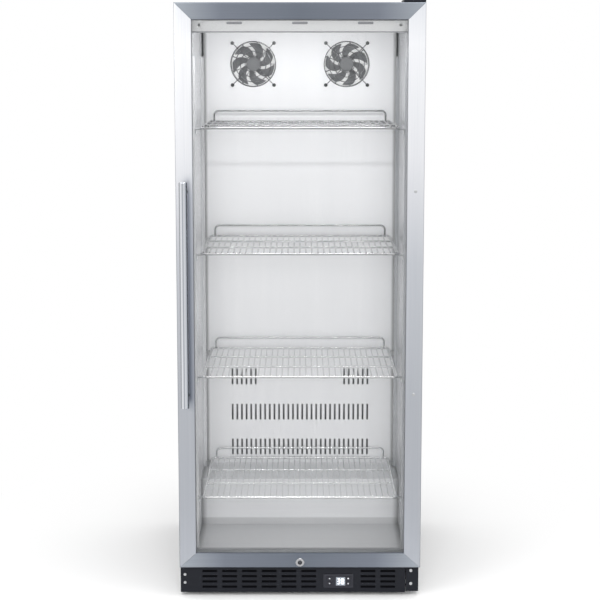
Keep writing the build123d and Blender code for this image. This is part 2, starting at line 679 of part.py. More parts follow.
def make_door_frame():
    outer = (HALF, DOOR_BOTTOM, DOOR_TOP)
    inner = (OPEN_X, OPEN_LOW, OPEN_HIGH)
    s = TRIM_SHEET
    inside_outer = (HALF - s, DOOR_BOTTOM + s, DOOR_TOP - s)
    outside_inner = (OPEN_X + s, OPEN_LOW - s, OPEN_HIGH + s)
    trim = ring(outer, inner, (0, s))
    trim += ring(outer, inside_outer, (0, TRIM_RETURN))
    trim += ring(outside_inner, inner, (0, GLAZING_FRONT))
    wide_bores = [post_z(HINGE_X, HINGE_D, (DOOR_TOP - 5, DOOR_TOP + 1), HINGE_PIN_R + 2),
                  post_z(HINGE_X, HINGE_D, (DOOR_BOTTOM - 1, DOOR_BOTTOM + 5), HINGE_PIN_R + 2)]
    lock_hole = post_d(0, (-1, LOCK_DEPTH + 1), LOCK_Z, LOCK_BODY_R)
    plugs = [post_d(HANDLE_X, (-1, 10), z, 2.5) for z in post_levels()]
    posts = [post_d(-HANDLE_X, (-1, 12), z, 2.5) for z in post_levels()]
    trim -= wide_bores + [lock_hole, cam_pocket()] + plugs + posts
    members = mitred(trim, outer, inner, (0, TRIM_RETURN))
    names = {"left": "door_stile_left", "right": "door_stile_right",
             "bottom": "door_rail_bottom", "top": "door_rail_top"}
    door = {names[key]: member for key, member in members.items()}

    core = ring(inside_outer, outside_inner, (s, DOOR_THICK))
    pocket = (OPEN_X + PANE_COVER + POCKET_FIT, OPEN_LOW - PANE_COVER - POCKET_FIT,
              OPEN_HIGH + PANE_COVER + POCKET_FIT)
    glazing = (GLAZING_FRONT, GLAZING_FRONT + GLAZING_DEPTH)
    core -= block((-pocket[0], pocket[0]), glazing, (pocket[1], pocket[2]))
    core -= hinge_bores() + [lock_hole, cam_pocket()] + plugs + posts
    cores = mitred(core, inside_outer, outside_inner, (s, DOOR_THICK))
    door["door_core"] = solids_of(cores.values())
    return door


def make_glazing():
    x = OPEN_X + PANE_COVER
    z = (OPEN_LOW - PANE_COVER, OPEN_HIGH + PANE_COVER)
    front = GLAZING_FRONT
    back = GLAZING_FRONT + GLAZING_DEPTH
    outer = (x - 0.5, z[0] + 0.5, z[1] - 0.5)
    inner = (x - 6.5, z[0] + 6.5, z[1] - 6.5)
    between = (front + PANE, back - PANE)
    bars = mitred(ring(outer, inner, between), outer, inner, between)
    return {
        "glass_outer": block((-x, x), (front, front + PANE), z),
        "glass_inner": block((-x, x), (back - PANE, back), z),
        "glass_spacer": solids_of(bars.values()),
    }


def make_gasket():
    """Soft magnetic seal: a base, a narrow bellows and a magnet head, mitred."""
    inner = (DOORWAY_X + GASKET_LIP - 1, SILL - GASKET_LIP + 1, DOORWAY_HIGH + GASKET_LIP - 1)
    outer = (inner[0] + GASKET_WIDTH, inner[1] - GASKET_WIDTH, inner[2] + GASKET_WIDTH)
    back = CABINET_FRONT - 0.4

    def inset(by):
        return ((outer[0] - by, outer[1] + by, outer[2] - by),
                (inner[0] + by, inner[1] - by, inner[2] + by))

    seal = ring(outer, inner, (DOOR_THICK, DOOR_THICK + 2))
    seal += ring(*inset(3.0), (DOOR_THICK + 2, back - 3.4))
    seal += ring(*inset(1.0), (back - 3.4, back))
    bars = mitred(seal, outer, inner, (DOOR_THICK, back))
    return solids_of(bars.values())


def post_levels():
    return (HANDLE_Z - HANDLE_POST_PITCH / 2, HANDLE_Z + HANDLE_POST_PITCH / 2)


def make_handle():
    middle = -HANDLE_REACH + HANDLE_BAR_R
    span = (HANDLE_Z - HANDLE_LENGTH / 2, HANDLE_Z + HANDLE_LENGTH / 2)
    bar = post_z(-HANDLE_X, middle, span, HANDLE_BAR_R)
    bar = chamfer(bar.edges().filter_by(GeomType.CIRCLE), 0.8)
    sockets = []
    posts = []
    for z in post_levels():
        foot = post_d(-HANDLE_X, (-3.0, 0), z, 9.0)
        neck = post_d(-HANDLE_X, (middle + 4.0, -3.0), z, HANDLE_POST_R)
        stud = post_d(-HANDLE_X, (0, 11), z, 2.5)
        posts.append(foot + neck + stud)
        sockets.append(post_d(-HANDLE_X, (middle + 4.0, middle + 20), z, HANDLE_POST_R))
    plugs = []
    for z in post_levels():
        cap = post_d(HANDLE_X, (-1.4, 0), z, PLUG_R)
        cap = chamfer(cap.edges().filter_by(GeomType.CIRCLE).sort_by(Axis.Y)[0], 0.6)
        plugs.append(cap + post_d(HANDLE_X, (0, 8), z, 2.5))
    return {
        "handle_bar": bar - sockets,
        "handle_posts": solids_of(posts),
        "stile_plugs": solids_of(plugs),
    }


def make_lock():
    flange = post_d(0, (-2.5, 0), LOCK_Z, LOCK_RING_R)
    flange = chamfer(flange.edges().filter_by(GeomType.CIRCLE).sort_by(Axis.Y)[0], 0.8)
    housing = flange + post_d(0, (0, LOCK_DEPTH), LOCK_Z, LOCK_BODY_R)
    housing -= post_d(0, (-5, LOCK_DEPTH + 5), LOCK_Z, LOCK_CYLINDER_R + BORE_FIT)
    cylinder = post_d(0, (-2.0, LOCK_DEPTH), LOCK_Z, LOCK_CYLINDER_R)
    cam_front = LOCK_DEPTH + 0.8
    cam_back = cam_front + CAM_THICK
    tail = (-2.5, 2.5)
    cylinder += block(tail, (LOCK_DEPTH, cam_back + 0.8), (LOCK_Z - 2.5, LOCK_Z + 2.5))
    cylinder -= block((-0.8, 0.8), (-3, 6), (LOCK_Z - 3.2, LOCK_Z + 3.2))
    plate = block((-CAM_WIDTH / 2, CAM_LENGTH), (cam_front, cam_back),
                  (LOCK_Z - CAM_WIDTH / 2, LOCK_Z + CAM_WIDTH / 2))
    plate = fillet(plate.edges().filter_by(Axis.Y), 4.0)
    plate -= block(tail, (cam_front - 1, cam_back + 1), (LOCK_Z - 2.5, LOCK_Z + 2.5))
    return {"lock_housing": housing, "lock_cylinder": cylinder, "lock_cam": plate}


# ---------------------------------------------------------------- hinges
def hinge_screw_places():
    """(x, depth) of the two screws that hold the top hinge plate to the roof."""
    return [(x, CABINET_FRONT + 16) for x in (HINGE_X - 19, HALF - 12)]


def hinge_screw_shanks():
    top = CABINET_TOP + HINGE_PLATE - 1.2
    return [post_z(x, d, (CABINET_TOP - 6, top), 2.5) for x, d in hinge_screw_places()]


def make_hinges():
    base = CABINET_TOP
    plate_x = (HINGE_X - 28, HALF - 3)
    plate_d = (HINGE_D - 12.5, CABINET_FRONT + 38)
    pin_top = (DOOR_TOP - HINGE_PIN_GRIP, base + HINGE_PLATE)
    plate = block(plate_x, plate_d, (base, base + HINGE_PLATE))
    plate -= post_z(HINGE_X, HINGE_D, (base - 1, base + HINGE_PLATE + 1), HINGE_PIN_R)
    seat = base + HINGE_PLATE - 1.2
    shanks = hinge_screw_shanks()
    heads = [post_z(x, d, (seat, seat + 1.8), 4.5) for x, d in hinge_screw_places()]
    plate -= shanks + heads
    cover = block((HALF - HINGE_COVER_WIDTH, HALF), (3, plate_d[1] + 6), (base, base + HINGE_COVER))
    cover = fillet(cover.edges().filter_by(Axis.Z), 4.0)
    cover = fillet(cover.faces().sort_by(Axis.Z)[-1].edges(), 1.2)
    cover -= block((plate_x[0] - 1, plate_x[1] + 1), (plate_d[0] - 1, plate_d[1] + 1),
                   (base - 1, base + HINGE_PLATE + 0.8))
    hinges = {
        "top_hinge_plate": plate,
        "top_hinge_pin": post_z(HINGE_X, HINGE_D, pin_top, HINGE_PIN_R),
        "top_hinge_screws": solids_of([shank + head for shank, head in zip(shanks, heads)]),
        "top_hinge_cover": cover,
    }
    low_x = (HALF - 34, HALF - 3)
    leg_d = (GRILLE_SETBACK + 2, GRILLE_SETBACK + 6)
    tongue_z = (BASE_TOP - 3.5, BASE_TOP + 0.5)
    bracket = block(low_x, leg_d, (BASE_UNDER + 2, tongue_z[1]))
    bracket += block(low_x, (leg_d[0], CABINET_FRONT), tongue_z)
    bracket -= post_z(HINGE_X, HINGE_D, (tongue_z[0] - 1, tongue_z[1] + 1), HINGE_PIN_R)
    holes = []
    screws = []
    for z in (BASE_TOP - 11, BASE_TOP - 45):
        holes.append(post_d(HALF - 22, (leg_d[0] - 1, leg_d[1] + 8), z, 2.0))
        screws.append(screw(HALF - 22, leg_d[0], z, 3.8, 2.0, 2.0, 9.0))
    hinges["bottom_hinge_bracket"] = bracket - holes
    hinges["bottom_hinge_pin"] = post_z(HINGE_X, HINGE_D, (tongue_z[0], DOOR_BOTTOM + HINGE_PIN_GRIP),
                                        HINGE_PIN_R)
    hinges["bottom_hinge_screws"] = solids_of(screws)
    return hinges


# ---------------------------------------------------------------- kick grille
def control_place():
    """(low x, high x, low z, high z) of the controller's front."""
    middle = -HALF + GRILLE_FIRST + 6.5 * GRILLE_PITCH
    low = BASE_UNDER + 11.5
    return middle - CONTROL_WIDE / 2, middle + CONTROL_WIDE / 2, low, low + CONTROL_TALL


def grille_screw_places():
    return [(-HALF + 12, BASE_UNDER + rise) for rise in (25.6, 46.3)]


def make_grille():
    x = (-HALF + 1, HALF - 36)
    z = (BASE_UNDER, BASE_TOP)
    grille = block(x, (GRILLE_SETBACK, GRILLE_BACK), z)
    grille += block(x, (GRILLE_BACK, CABINET_FRONT), (BASE_TOP - 2, BASE_TOP))
    grille += block((x[0], x[0] + 2), (GRILLE_BACK, CABINET_FRONT), (BASE_UNDER + 4, BASE_TOP))
    cuts = [block((-CAM_WIDTH / 2 - 2, CAM_LENGTH + 1), (LOCK_DEPTH - 2, LOCK_DEPTH + CAM_THICK + 4),
                  (BASE_TOP - 5, BASE_TOP + 5))]
    for column in range(GRILLE_COLUMNS):
        middle = -HALF + GRILLE_FIRST + column * GRILLE_PITCH
        if column in (6, 7):
            continue
        for row in range(GRILLE_ROWS):
            level = BASE_UNDER + GRILLE_FIRST_ROW + row * GRILLE_ROW_PITCH
            cuts.append(block((middle - GRILLE_SLOT_WIDE / 2, middle + GRILLE_SLOT_WIDE / 2),
                              (GRILLE_SETBACK - 1, GRILLE_BACK + 1),
                              (level - GRILLE_SLOT_TALL / 2, level + GRILLE_SLOT_TALL / 2)))
    left, right, low, high = control_place()
    cuts.append(block((left + 3, right - 3), (GRILLE_SETBACK - 1, GRILLE_BACK + 1), (low + 3, high - 3)))
    for screw_x, screw_z in grille_screw_places():
        cuts.append(post_d(screw_x, (GRILLE_SETBACK - 1, GRILLE_BACK + 1), screw_z, 1.9))
    screws = [screw(sx, GRILLE_SETBACK, sz, 3.4, 1.6, 1.9, 10.0) for sx, sz in grille_screw_places()]
    return {"kick_grille": grille - cuts, "grille_screws": solids_of(screws)}


def button_places():
    """Middles of the four buttons, as (x, z)."""
    left, right, low, high = control_place()
    middle = (low + high) / 2
    return [(x, z) for x in (left + 15.5, right - 13.0) for z in (middle + 6.5, middle - 6.5)]


def make_controller():
    left, right, low, high = control_place()
    front = GRILLE_SETBACK - 1.5
    bezel = block((left, right), (front, GRILLE_SETBACK), (low, high))
    bezel = fillet(bezel.edges().filter_by(Axis.Y), 3.0)
    case = bezel + block((left + 3.5, right - 3.5), (GRILLE_SETBACK, GRILLE_SETBACK + CONTROL_DEEP),
                         (low + 3.5, high - 3.5))
    window = (left + 31.5, left + 54.5)
    tall = (low + 6.0, low + 27.5)
    case -= block(window, (front - 1, front + 1.2), tall)
    node = {"controller_display": block(window, (front + 0.2, front + 1.2), tall)}
    for number, (x, z) in enumerate(button_places(), start=1):
        wide = BUTTON_WIDE / 2
        half = BUTTON_TALL / 2
        fit = BUTTON_FIT
        pocket = BUTTON_BODY + BUTTON_TRAVEL + BUTTON_ROOM
        case -= block((x - wide - fit, x + wide + fit), (front - 1, front + pocket),
                      (z - half - fit, z + half + fit))
        key = block((x - wide, x + wide), (front - 0.9, front + BUTTON_BODY), (z - half, z + half))
        node[f"controller_button_{number}"] = fillet(key.edges().filter_by(Axis.Y), 1.5)
    node["controller_case"] = case
    return node


# ---------------------------------------------------------------- base
def foot_places():
    """(x, depth) of the four levelling feet."""
    return [(side * (HALF - FOOT_INSET), d) for d in (FOOT_FRONT, REAR - FOOT_REAR) for side in (-1, 1)]


def make_base():
    """Two side channels with foot bosses and upright front tabs, and three cross bars."""
    rails = []
    z = (RAIL_BOTTOM, RAIL_TOP)
    for side in (-1, 1):
        run = (GRILLE_SETBACK + 6, REAR - 4)
        rail = side_block(side, (RAIL_OUT - RAIL_WIDE, RAIL_OUT), run, z)
        rail -= side_block(side, (RAIL_OUT - RAIL_WIDE - 1, RAIL_OUT - RAIL_SHEET), (run[0] + 4, run[1] + 1),
                           (z[0] + RAIL_SHEET, z[1] - RAIL_SHEET))
        rail += side_block(side, (RAIL_OUT - RAIL_WIDE, RAIL_OUT), (run[0], run[0] + 4), (z[0], BASE_TOP - 5))
        for foot_x, foot_d in foot_places():
            if foot_x * side > 0:
                rail += post_z(foot_x, foot_d, (z[0], z[0] + 12), 8.0)
                rail -= post_z(foot_x, foot_d, (z[0] - 1, z[1] + 1), FOOT_STEM_R + BORE_FIT)
        hinge_screws = [(HALF - 22, BASE_TOP - 11), (HALF - 22, BASE_TOP - 45)]
        screws = grille_screw_places() if side < 0 else hinge_screws
        for screw_x, screw_z in screws:
            rail -= post_d(screw_x, (run[0] - 1, run[0] + 12), screw_z, 2.0)
        rails.append(rail)
    inside = RAIL_OUT - RAIL_WIDE
    for d in (CABINET_FRONT + 8, MACHINE_FRONT, REAR - 28):
        rails.append(block((-inside, inside), (d, d + 20), (RAIL_BOTTOM, RAIL_BOTTOM + 10)))
    return solids_of(rails)


def make_feet():
    feet = []
    for x, d in foot_places():
        pad = post_z(x, d, (0, FOOT_TALL), FOOT_R)
        pad = chamfer(pad.edges().filter_by(GeomType.CIRCLE), 1.0)
        feet.append(pad + post_z(x, d, (FOOT_TALL, FOOT_TALL + FOOT_STEM), FOOT_STEM_R))
    return solids_of(feet)


def make_undertray():
    """Sheet that closes the insulation from below and lines the machine space."""
    inside = HALF - SHELL_SHEET
    s = LINER_SHEET
    front = (CABINET_FRONT + SHELL_SHEET, MACHINE_FRONT)
    floor = block((-inside, inside), front, (SLAB_UNDER - s, SLAB_UNDER))
    riser = block((-inside, inside), (MACHINE_FRONT, MACHINE_FRONT + s), (SLAB_UNDER - s, MACHINE_TOP - s))
    roof = block((-inside, inside), (MACHINE_FRONT, REAR - SHELL_SHEET), (MACHINE_TOP - s, MACHINE_TOP))
    return solids_of([floor, riser, roof - pipe_holes()])


# ---------------------------------------------------------------- machine space
DECK_TOP = RAIL_BOTTOM + 11.5


def make_deck():
    inside = RAIL_OUT - RAIL_WIDE - 1
    return block((-inside, inside), (MACHINE_FRONT + 2, REAR - 9), (RAIL_BOTTOM + 10, DECK_TOP))


def compressor_place():
    return 85.0, REAR - 130.0


def make_compressor():
    """Welded can with a domed lid, on four rubber mounts, with a relay box."""
    x, d = compressor_place()
    low = DECK_TOP + 12
    can = post_z(x, d, (low, low + 92), 58.0)
    can = fillet(can.edges().filter_by(GeomType.CIRCLE), 18.0)
    feet = block((x - 66, x + 66), (d - 46, d + 46), (low - 2, low))
    feet = fillet(feet.edges().filter_by(Axis.Z), 8.0)
    can = can + feet + post_z(x, d, (low - 1, low + 20), 40.0)
    mounts = []
    for sx in (-1, 1):
        for sd in (-1, 1):
            mounts.append(post_z(x + sx * 56, d + sd * 36, (DECK_TOP, low - 2), 9.0))
    relay = block((x + 58, x + 86), (d - 26, d + 26), (low + 20, low + 66))
    relay = fillet(relay.edges().filter_by(Axis.Y), 4.0) - post_z(x, d, (low, low + 100), 58.0)
    return {"compressor": can, "compressor_mounts": solids_of(mounts), "compressor_relay": relay}


def condenser_place():
    """(low x, high x), (front, back), (low z, high z) of the finned condenser."""
    return (-262.0, -222.0), (MACHINE_FRONT + 12, REAR - 40), (DECK_TOP, MACHINE_TOP - 16)


def condenser_rows():
    """Levels of the condenser's four rows of tube."""
    low, high = condenser_place()[2]
    return [low + 16 + row * (high - low - 32) / 3 for row in range(4)]


def make_condenser():
    x, d, z = condenser_place()
    fins = []
    count = 21
    for i in range(count):
        at = d[0] + 3 + i * (d[1] - d[0] - 6) / (count - 1)
        fins.append(block(x, (at - 0.5, at + 0.5), z))
    tubes = []
    for level in condenser_rows():
        for tube_x in (x[0] + 10, x[1] - 10):
            tubes.append(post_d(tube_x, (d[0] - 6, d[1] + 6), level, 4.0))
        for end in (d[0] - 6, d[1] + 2):
            tubes.append(block((x[0] + 8, x[1] - 8), (end, end + 4), (level - 4, level + 4)))
    return tubes[0] + tubes[1:] + fins


def make_condenser_fan():
    """Shroud and motor, with a rotor that turns about the x axis."""
    x, d, z = condenser_place()
    middle_d = (d[0] + d[1]) / 2
    middle_z = (z[0] + z[1]) / 2
    radius = (z[1] - z[0]) / 2 - 8
    front = x[1] + 1
    shroud = block((front, front + 34), d, z)
    shroud -= block((front - 1, front + 12), (d[0] + 2, d[1] - 2), (z[0] + 2, z[1] - 2))
    shroud -= post_x((front, front + 40), middle_d, middle_z, radius)
    motor = post_x((front + 38, front + 74), middle_d, middle_z, 22.0)
    motor += post_x((front + 16, front + 38), middle_d, middle_z, FAN_SHAFT_R)
    bar = front + 34
    motor += block((bar, bar + 4), d, (middle_z - 6, middle_z + 6))
    rotor = make_rotor(16.0, radius - 3, 16.0, 5, 1, FAN_SHAFT_R)
    place = Pos(front + 15, y_of(middle_d), middle_z) * Rot(Y=90)
    return {"condenser_shroud": shroud, "condenser_motor": motor, "condenser_fan_blade": place * rotor}


def make_pipes():
    """Drain, suction, liquid and discharge lines, with a drier in the liquid line."""
    drain_x, drain_d = drain_place()
    tray_under = STEP_TOP + 320
    drain = post_z(drain_x, drain_d, (DECK_TOP + 18, tray_under), 8.0)
    drain -= post_z(drain_x, drain_d, (DECK_TOP + 17, tray_under + 1), 6.0)
    rows = coil_rows()
    coil_side = coil_half_width() + 0.5
    can_x, can_d = compressor_place()
    can = make_compressor()["compressor"]
    x, d = suction_place()
    level = DECK_TOP + 90
    suction = bent_wire([(coil_side, d, rows[-1]), (x, d, rows[-1]), (x, d, level), (x, can_d, level),
                         (can_x + 50, can_d, level)], 5.0, 12.0) - can
    x, d = liquid_place()
    condenser_x, condenser_d, condenser_z = condenser_place()
    middle = (condenser_x[0] + condenser_x[1]) / 2
    level = condenser_rows()[1]
    end = condenser_d[1] + 6
    liquid = bent_wire([(coil_side, d, rows[0]), (x, d, rows[0]), (x, d, level), (x, end + 11, level),
                        (middle, end + 11, level), (middle, end, level)], 2.5, 8.0)
    liquid += post_x((-120, -40), end + 11, level, 9.0)
    over = condenser_z[1] + 8
    discharge = bent_wire([(can_x - 25, can_d, DECK_TOP + 100), (can_x - 25, can_d, over),
                           (middle, can_d, over), (middle, can_d, condenser_z[1])], 3.0, 7.0) - can
    return {"drain_tube": drain, "suction_line": suction, "liquid_line": liquid, "discharge_line": discharge}


def grouped(pieces, names):
    """Takes the named pieces out of a dictionary and joins them as one node."""
    return solids_of([pieces.pop(name) for name in names])


PARTS = {}
shell = make_shell()
PARTS["machine_rear_cover"] = shell.pop("machine_rear_cover")
PARTS["cabinet_shell"] = solids_of(shell.values())
PARTS["front_frame"] = make_front_frame()
PARTS["insulation"] = make_foam()
liner = make_liner()
PARTS["liner_floor"] = grouped(liner, ["liner_floor", "liner_sill", "liner_step"])
PARTS["liner_walls"] = solids_of(liner.values())
PARTS["pilasters"] = make_pilasters()
PARTS["shelf_clips"] = make_clips()
for shelf_number, shelf_level in enumerate(SHELF_LEVELS, start=1):
    PARTS[f"shelf_{shelf_number}"] = solids_of([make_shelf(shelf_level), make_shelf_rail(shelf_level)])
PARTS["duct_panel"] = make_duct_panel()
PARTS["fan_frames"] = solids_of([make_fan_frame(-1), make_fan_frame(1)])
PARTS["fan_guards"] = solids_of([make_fan_guard(-1), make_fan_guard(1)])
PARTS["fan_blade_left"] = make_fan_blade(-1)
PARTS["fan_blade_right"] = make_fan_blade(1)
PARTS["evaporator_coil"] = make_evaporator()
PARTS["drip_tray"] = make_drip_tray()
header = make_header()
hinges = make_hinges()
grille = make_grille()
PARTS["screws"] = solids_of([make_guard_screws(), header.pop("header_screws"), grille.pop("grille_screws"),
                             hinges.pop("top_hinge_screws"), hinges.pop("bottom_hinge_screws")])
PARTS["top_hinge"] = grouped(hinges, ["top_hinge_plate", "top_hinge_pin"])
PARTS["bottom_hinge"] = grouped(hinges, ["bottom_hinge_bracket", "bottom_hinge_pin"])
PARTS.update(header)
PARTS.update(hinges)
PARTS.update(grille)
door = make_door_frame()
PARTS["door_stiles"] = grouped(door, ["door_stile_left", "door_stile_right"])
PARTS["door_rails"] = grouped(door, ["door_rail_top", "door_rail_bottom"])
PARTS.update(door)
PARTS.update(make_glazing())
PARTS["door_gasket"] = make_gasket()
PARTS.update(make_handle())
PARTS.update(make_lock())
PARTS.update(make_controller())
PARTS["base_frame"] = solids_of([make_base(), make_deck()])
PARTS["levelling_feet"] = make_feet()
PARTS["undertray"] = make_undertray()
PARTS.update(make_compressor())
PARTS["condenser_coil"] = make_condenser()
condenser_fan = make_condenser_fan()
PARTS["condenser_fan_blade"] = condenser_fan.pop("condenser_fan_blade")
PARTS["condenser_fan_housing"] = solids_of(condenser_fan.values())
pipes = make_pipes()
PARTS["drain_tube"] = pipes.pop("drain_tube")
PARTS["refrigerant_lines"] = solids_of(pipes.values())

for part_name, part in PARTS.items():
    export_step(part, f"parts/{part_name}.step")
print(len(PARTS), "nodes written")
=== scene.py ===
import math
import bmesh
import bpy
import numpy as np
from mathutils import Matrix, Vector


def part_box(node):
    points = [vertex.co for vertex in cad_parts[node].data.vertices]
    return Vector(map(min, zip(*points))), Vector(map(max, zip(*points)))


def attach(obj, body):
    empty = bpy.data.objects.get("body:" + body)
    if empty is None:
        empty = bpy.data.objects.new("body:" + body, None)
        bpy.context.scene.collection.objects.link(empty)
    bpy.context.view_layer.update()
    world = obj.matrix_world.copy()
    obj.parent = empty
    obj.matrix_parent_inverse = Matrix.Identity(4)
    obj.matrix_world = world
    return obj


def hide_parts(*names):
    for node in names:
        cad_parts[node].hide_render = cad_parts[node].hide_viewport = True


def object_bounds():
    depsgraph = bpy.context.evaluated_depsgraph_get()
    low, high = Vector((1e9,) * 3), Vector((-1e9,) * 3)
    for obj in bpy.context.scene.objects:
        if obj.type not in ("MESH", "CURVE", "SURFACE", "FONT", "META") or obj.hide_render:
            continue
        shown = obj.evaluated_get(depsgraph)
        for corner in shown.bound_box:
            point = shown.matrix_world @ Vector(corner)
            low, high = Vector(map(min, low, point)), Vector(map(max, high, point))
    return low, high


# %% [markdown]
# # A reach-in refrigerator, finished piece by piece
# The construction of this refrigerator is already settled: every sheet, wire, hinge
# and fan sits where it should, in metres, with +Z up and the door facing -Y. This
# lesson gives each piece its finish, and models the few pieces whose shape carries
# the look: the mitred door trim, the soft gasket, the round-wire fan guards, the
# lit digits and the small fasteners.

# %% Load the settled construction
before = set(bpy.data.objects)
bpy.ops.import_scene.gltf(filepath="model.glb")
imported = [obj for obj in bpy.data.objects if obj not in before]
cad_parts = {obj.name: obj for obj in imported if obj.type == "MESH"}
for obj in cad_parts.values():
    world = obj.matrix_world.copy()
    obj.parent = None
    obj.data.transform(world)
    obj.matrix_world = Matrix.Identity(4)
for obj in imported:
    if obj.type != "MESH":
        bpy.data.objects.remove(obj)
CAD_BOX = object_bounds()
LOW, HIGH = CAD_BOX
print("box", [round(v, 4) for v in LOW], [round(v, 4) for v in HIGH])

# %% [markdown]
# ## Where things are
# Most later cells ask for the box of a piece and work from its corners rather than
# typing a position that the construction already knows; a few widths, radii and
# spacings are still typed in millimetres.

# %% Read the boxes that the later cells lean on
MM = 0.001
DOOR_LOW, DOOR_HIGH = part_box("door_stiles")
GLASS_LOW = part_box("glass_outer")[0]
FRONT_Y = DOOR_LOW.y
STILE = 42 * MM
TOP_RAIL = 41 * MM
BOTTOM_RAIL = 38 * MM
print("door front at y =", round(FRONT_Y, 4), "height", round(DOOR_HIGH.z - DOOR_LOW.z, 4))

# %% [markdown]
# ## The camera
# The refrigerator is seen straight on from about eye height, so the door reads as a
# tall plain rectangle and each shelf shows its top more the lower it hangs. A long
# lens from well back keeps that calm. The camera leans down a little and the small
# shift does the rest of the framing.

# %% Place the camera
CAMERA_BACK = 3.60
CAMERA_HEIGHT = 1.339
CAMERA_TILT = math.radians(7.75)
camera_data = bpy.data.cameras.new("camera")
camera_data.lens = 89.9
camera_data.sensor_width = 36.0
camera_data.shift_y = -0.065
camera_data.clip_end = 50.0
camera = bpy.data.objects.new("camera", camera_data)
camera.location = (0.0002, FRONT_Y - CAMERA_BACK, CAMERA_HEIGHT)
camera.rotation_euler = (math.radians(90) - CAMERA_TILT, 0.0, 0.0)
bpy.context.collection.objects.link(camera)
bpy.context.scene.camera = camera
bpy.context.scene.view_settings.view_transform = "Standard"
print("camera", [round(v, 3) for v in camera.location], "lens", camera_data.lens)

# %% [markdown]
# ## Node helpers
# Every finish below is a small network of nodes. A few helpers keep those networks
# readable: one starts a material with its plain values on the shader itself, one
# gives a pattern the object's own coordinates with a stretch, one multiplies two
# colours and one lays a bump on the surface.


# %% Helpers that start a material and feed its patterns
def new_material(name, **sockets):
    """A material with one Principled shader, its sockets set by name."""
    material = bpy.data.materials.new(name)
    material.use_nodes = True
    shader = material.node_tree.nodes["Principled BSDF"]
    for socket, value in sockets.items():
        shader.inputs[socket.replace("_", " ")].default_value = value
    return material, material.node_tree, shader


def stretched(tree, scale):
    """Object coordinates multiplied by scale, so a pattern can run long one way."""
    where = tree.nodes.new("ShaderNodeTexCoord")
    mapping = tree.nodes.new("ShaderNodeMapping")
    mapping.inputs["Scale"].default_value = scale
    tree.links.new(where.outputs["Object"], mapping.inputs["Vector"])
    return mapping.outputs["Vector"]


def noise(tree, vector, scale, detail=3.0, roughness=0.5):
    """Soft noise between 0 and 1 over the given coordinates."""
    node = tree.nodes.new("ShaderNodeTexNoise")
    node.inputs["Scale"].default_value = scale
    node.inputs["Detail"].default_value = detail
    node.inputs["Roughness"].default_value = roughness
    tree.links.new(vector, node.inputs["Vector"])
    return node.outputs["Fac"]


def ramp(tree, value, stops):
    """Colours blended between (position, colour) stops along a 0 to 1 value."""
    node = tree.nodes.new("ShaderNodeValToRGB")
    first, last = node.color_ramp.elements
    first.position, first.color = stops[0][0], (*stops[0][1], 1.0)
    last.position, last.color = stops[-1][0], (*stops[-1][1], 1.0)
    for position, colour in stops[1:-1]:
        node.color_ramp.elements.new(position).color = (*colour, 1.0)
    tree.links.new(value, node.inputs["Fac"])
    return node.outputs["Color"]


def grey(tone):
    """The same tone in red, green and blue."""
    return (tone,) * 3


def multiplied(tree, first, second, factor=1.0):
    """The product of two colours, blended in by factor. Each is a socket or a plain colour."""
    mix = tree.nodes.new("ShaderNodeMix")
    mix.data_type, mix.blend_type = "RGBA", "MULTIPLY"
    for socket, value in (("A", first), ("B", second), ("Factor", factor)):
        if isinstance(value, bpy.types.NodeSocket):
            tree.links.new(value, mix.inputs[socket])
        else:
            mix.inputs[socket].default_value = value
    return mix.outputs["Result"]


def axis_value(tree, axis):
    """One of the object's coordinates, in metres."""
    where = tree.nodes.new("ShaderNodeTexCoord")
    apart = tree.nodes.new("ShaderNodeSeparateXYZ")
    tree.links.new(where.outputs["Object"], apart.inputs["Vector"])
    return apart.outputs[axis]


def parts_of(material):
    """A finished material's node tree and its shader."""
    return material.node_tree, material.node_tree.nodes["Principled BSDF"]


def between(tree, value, low, high):
    """Carries a 0 to 1 value into the span from low to high."""
    node = tree.nodes.new("ShaderNodeMapRange")
    node.inputs["To Min"].default_value = low
    node.inputs["To Max"].default_value = high
    tree.links.new(value, node.inputs["Value"])
    return node.outputs["Result"]


def bump(tree, shader, height, strength, distance):
    """Tilts the shading by a height pattern, distance deep in metres."""
    node = tree.nodes.new("ShaderNodeBump")
    node.inputs["Strength"].default_value = strength
    node.inputs["Distance"].default_value = distance
    tree.links.new(height, node.inputs["Height"])
    tree.links.new(node.outputs["Normal"], shader.inputs["Normal"])


print("node helpers ready")


# %% [markdown]
# ## Brushed steel
# Brushing leaves thousands of fine scratches that all run one way. Along them the
# metal stays smooth and across them it scatters light, so the same noise, stretched
# hard along the grain, drives a faint change of brightness, a change of roughness
# and a shallow bump. The stiles are brushed upright and the rails lengthwise, which
# is why the rails look so much darker from the front: they mirror a different part
# of the room. That darker tone is painted reflection in the rails' colour, lighter
# towards the mitres. More light and shade is painted in below: a reflection gradient
# up the stiles, shade on the folds, the handle mirrored in its stile, highlights across
# the handle, streaky reflections and shade on the inside walls, and shade on the
# floor, the duct panel and the deeper screws.


# %% Brushed steel, by the direction of its grain
def along_axis(tree, axis, low, high):
    """0 to 1 along one axis of the object's coordinates, between low and high metres."""
    share = tree.nodes.new("ShaderNodeMapRange")
    share.inputs["From Min"].default_value = low
    share.inputs["From Max"].default_value = high
    tree.links.new(axis_value(tree, axis), share.inputs["Value"])
    return share.outputs["Result"]


def times(material, axis, low, high, stops):
    """Multiplies a material's base colour by a ramp that runs along one axis."""
    tree, shader = parts_of(material)
    base = shader.inputs["Base Color"]
    shade = ramp(tree, along_axis(tree, axis, low, high), stops)
    tree.links.new(multiplied(tree, base.links[0].from_socket, shade), base)


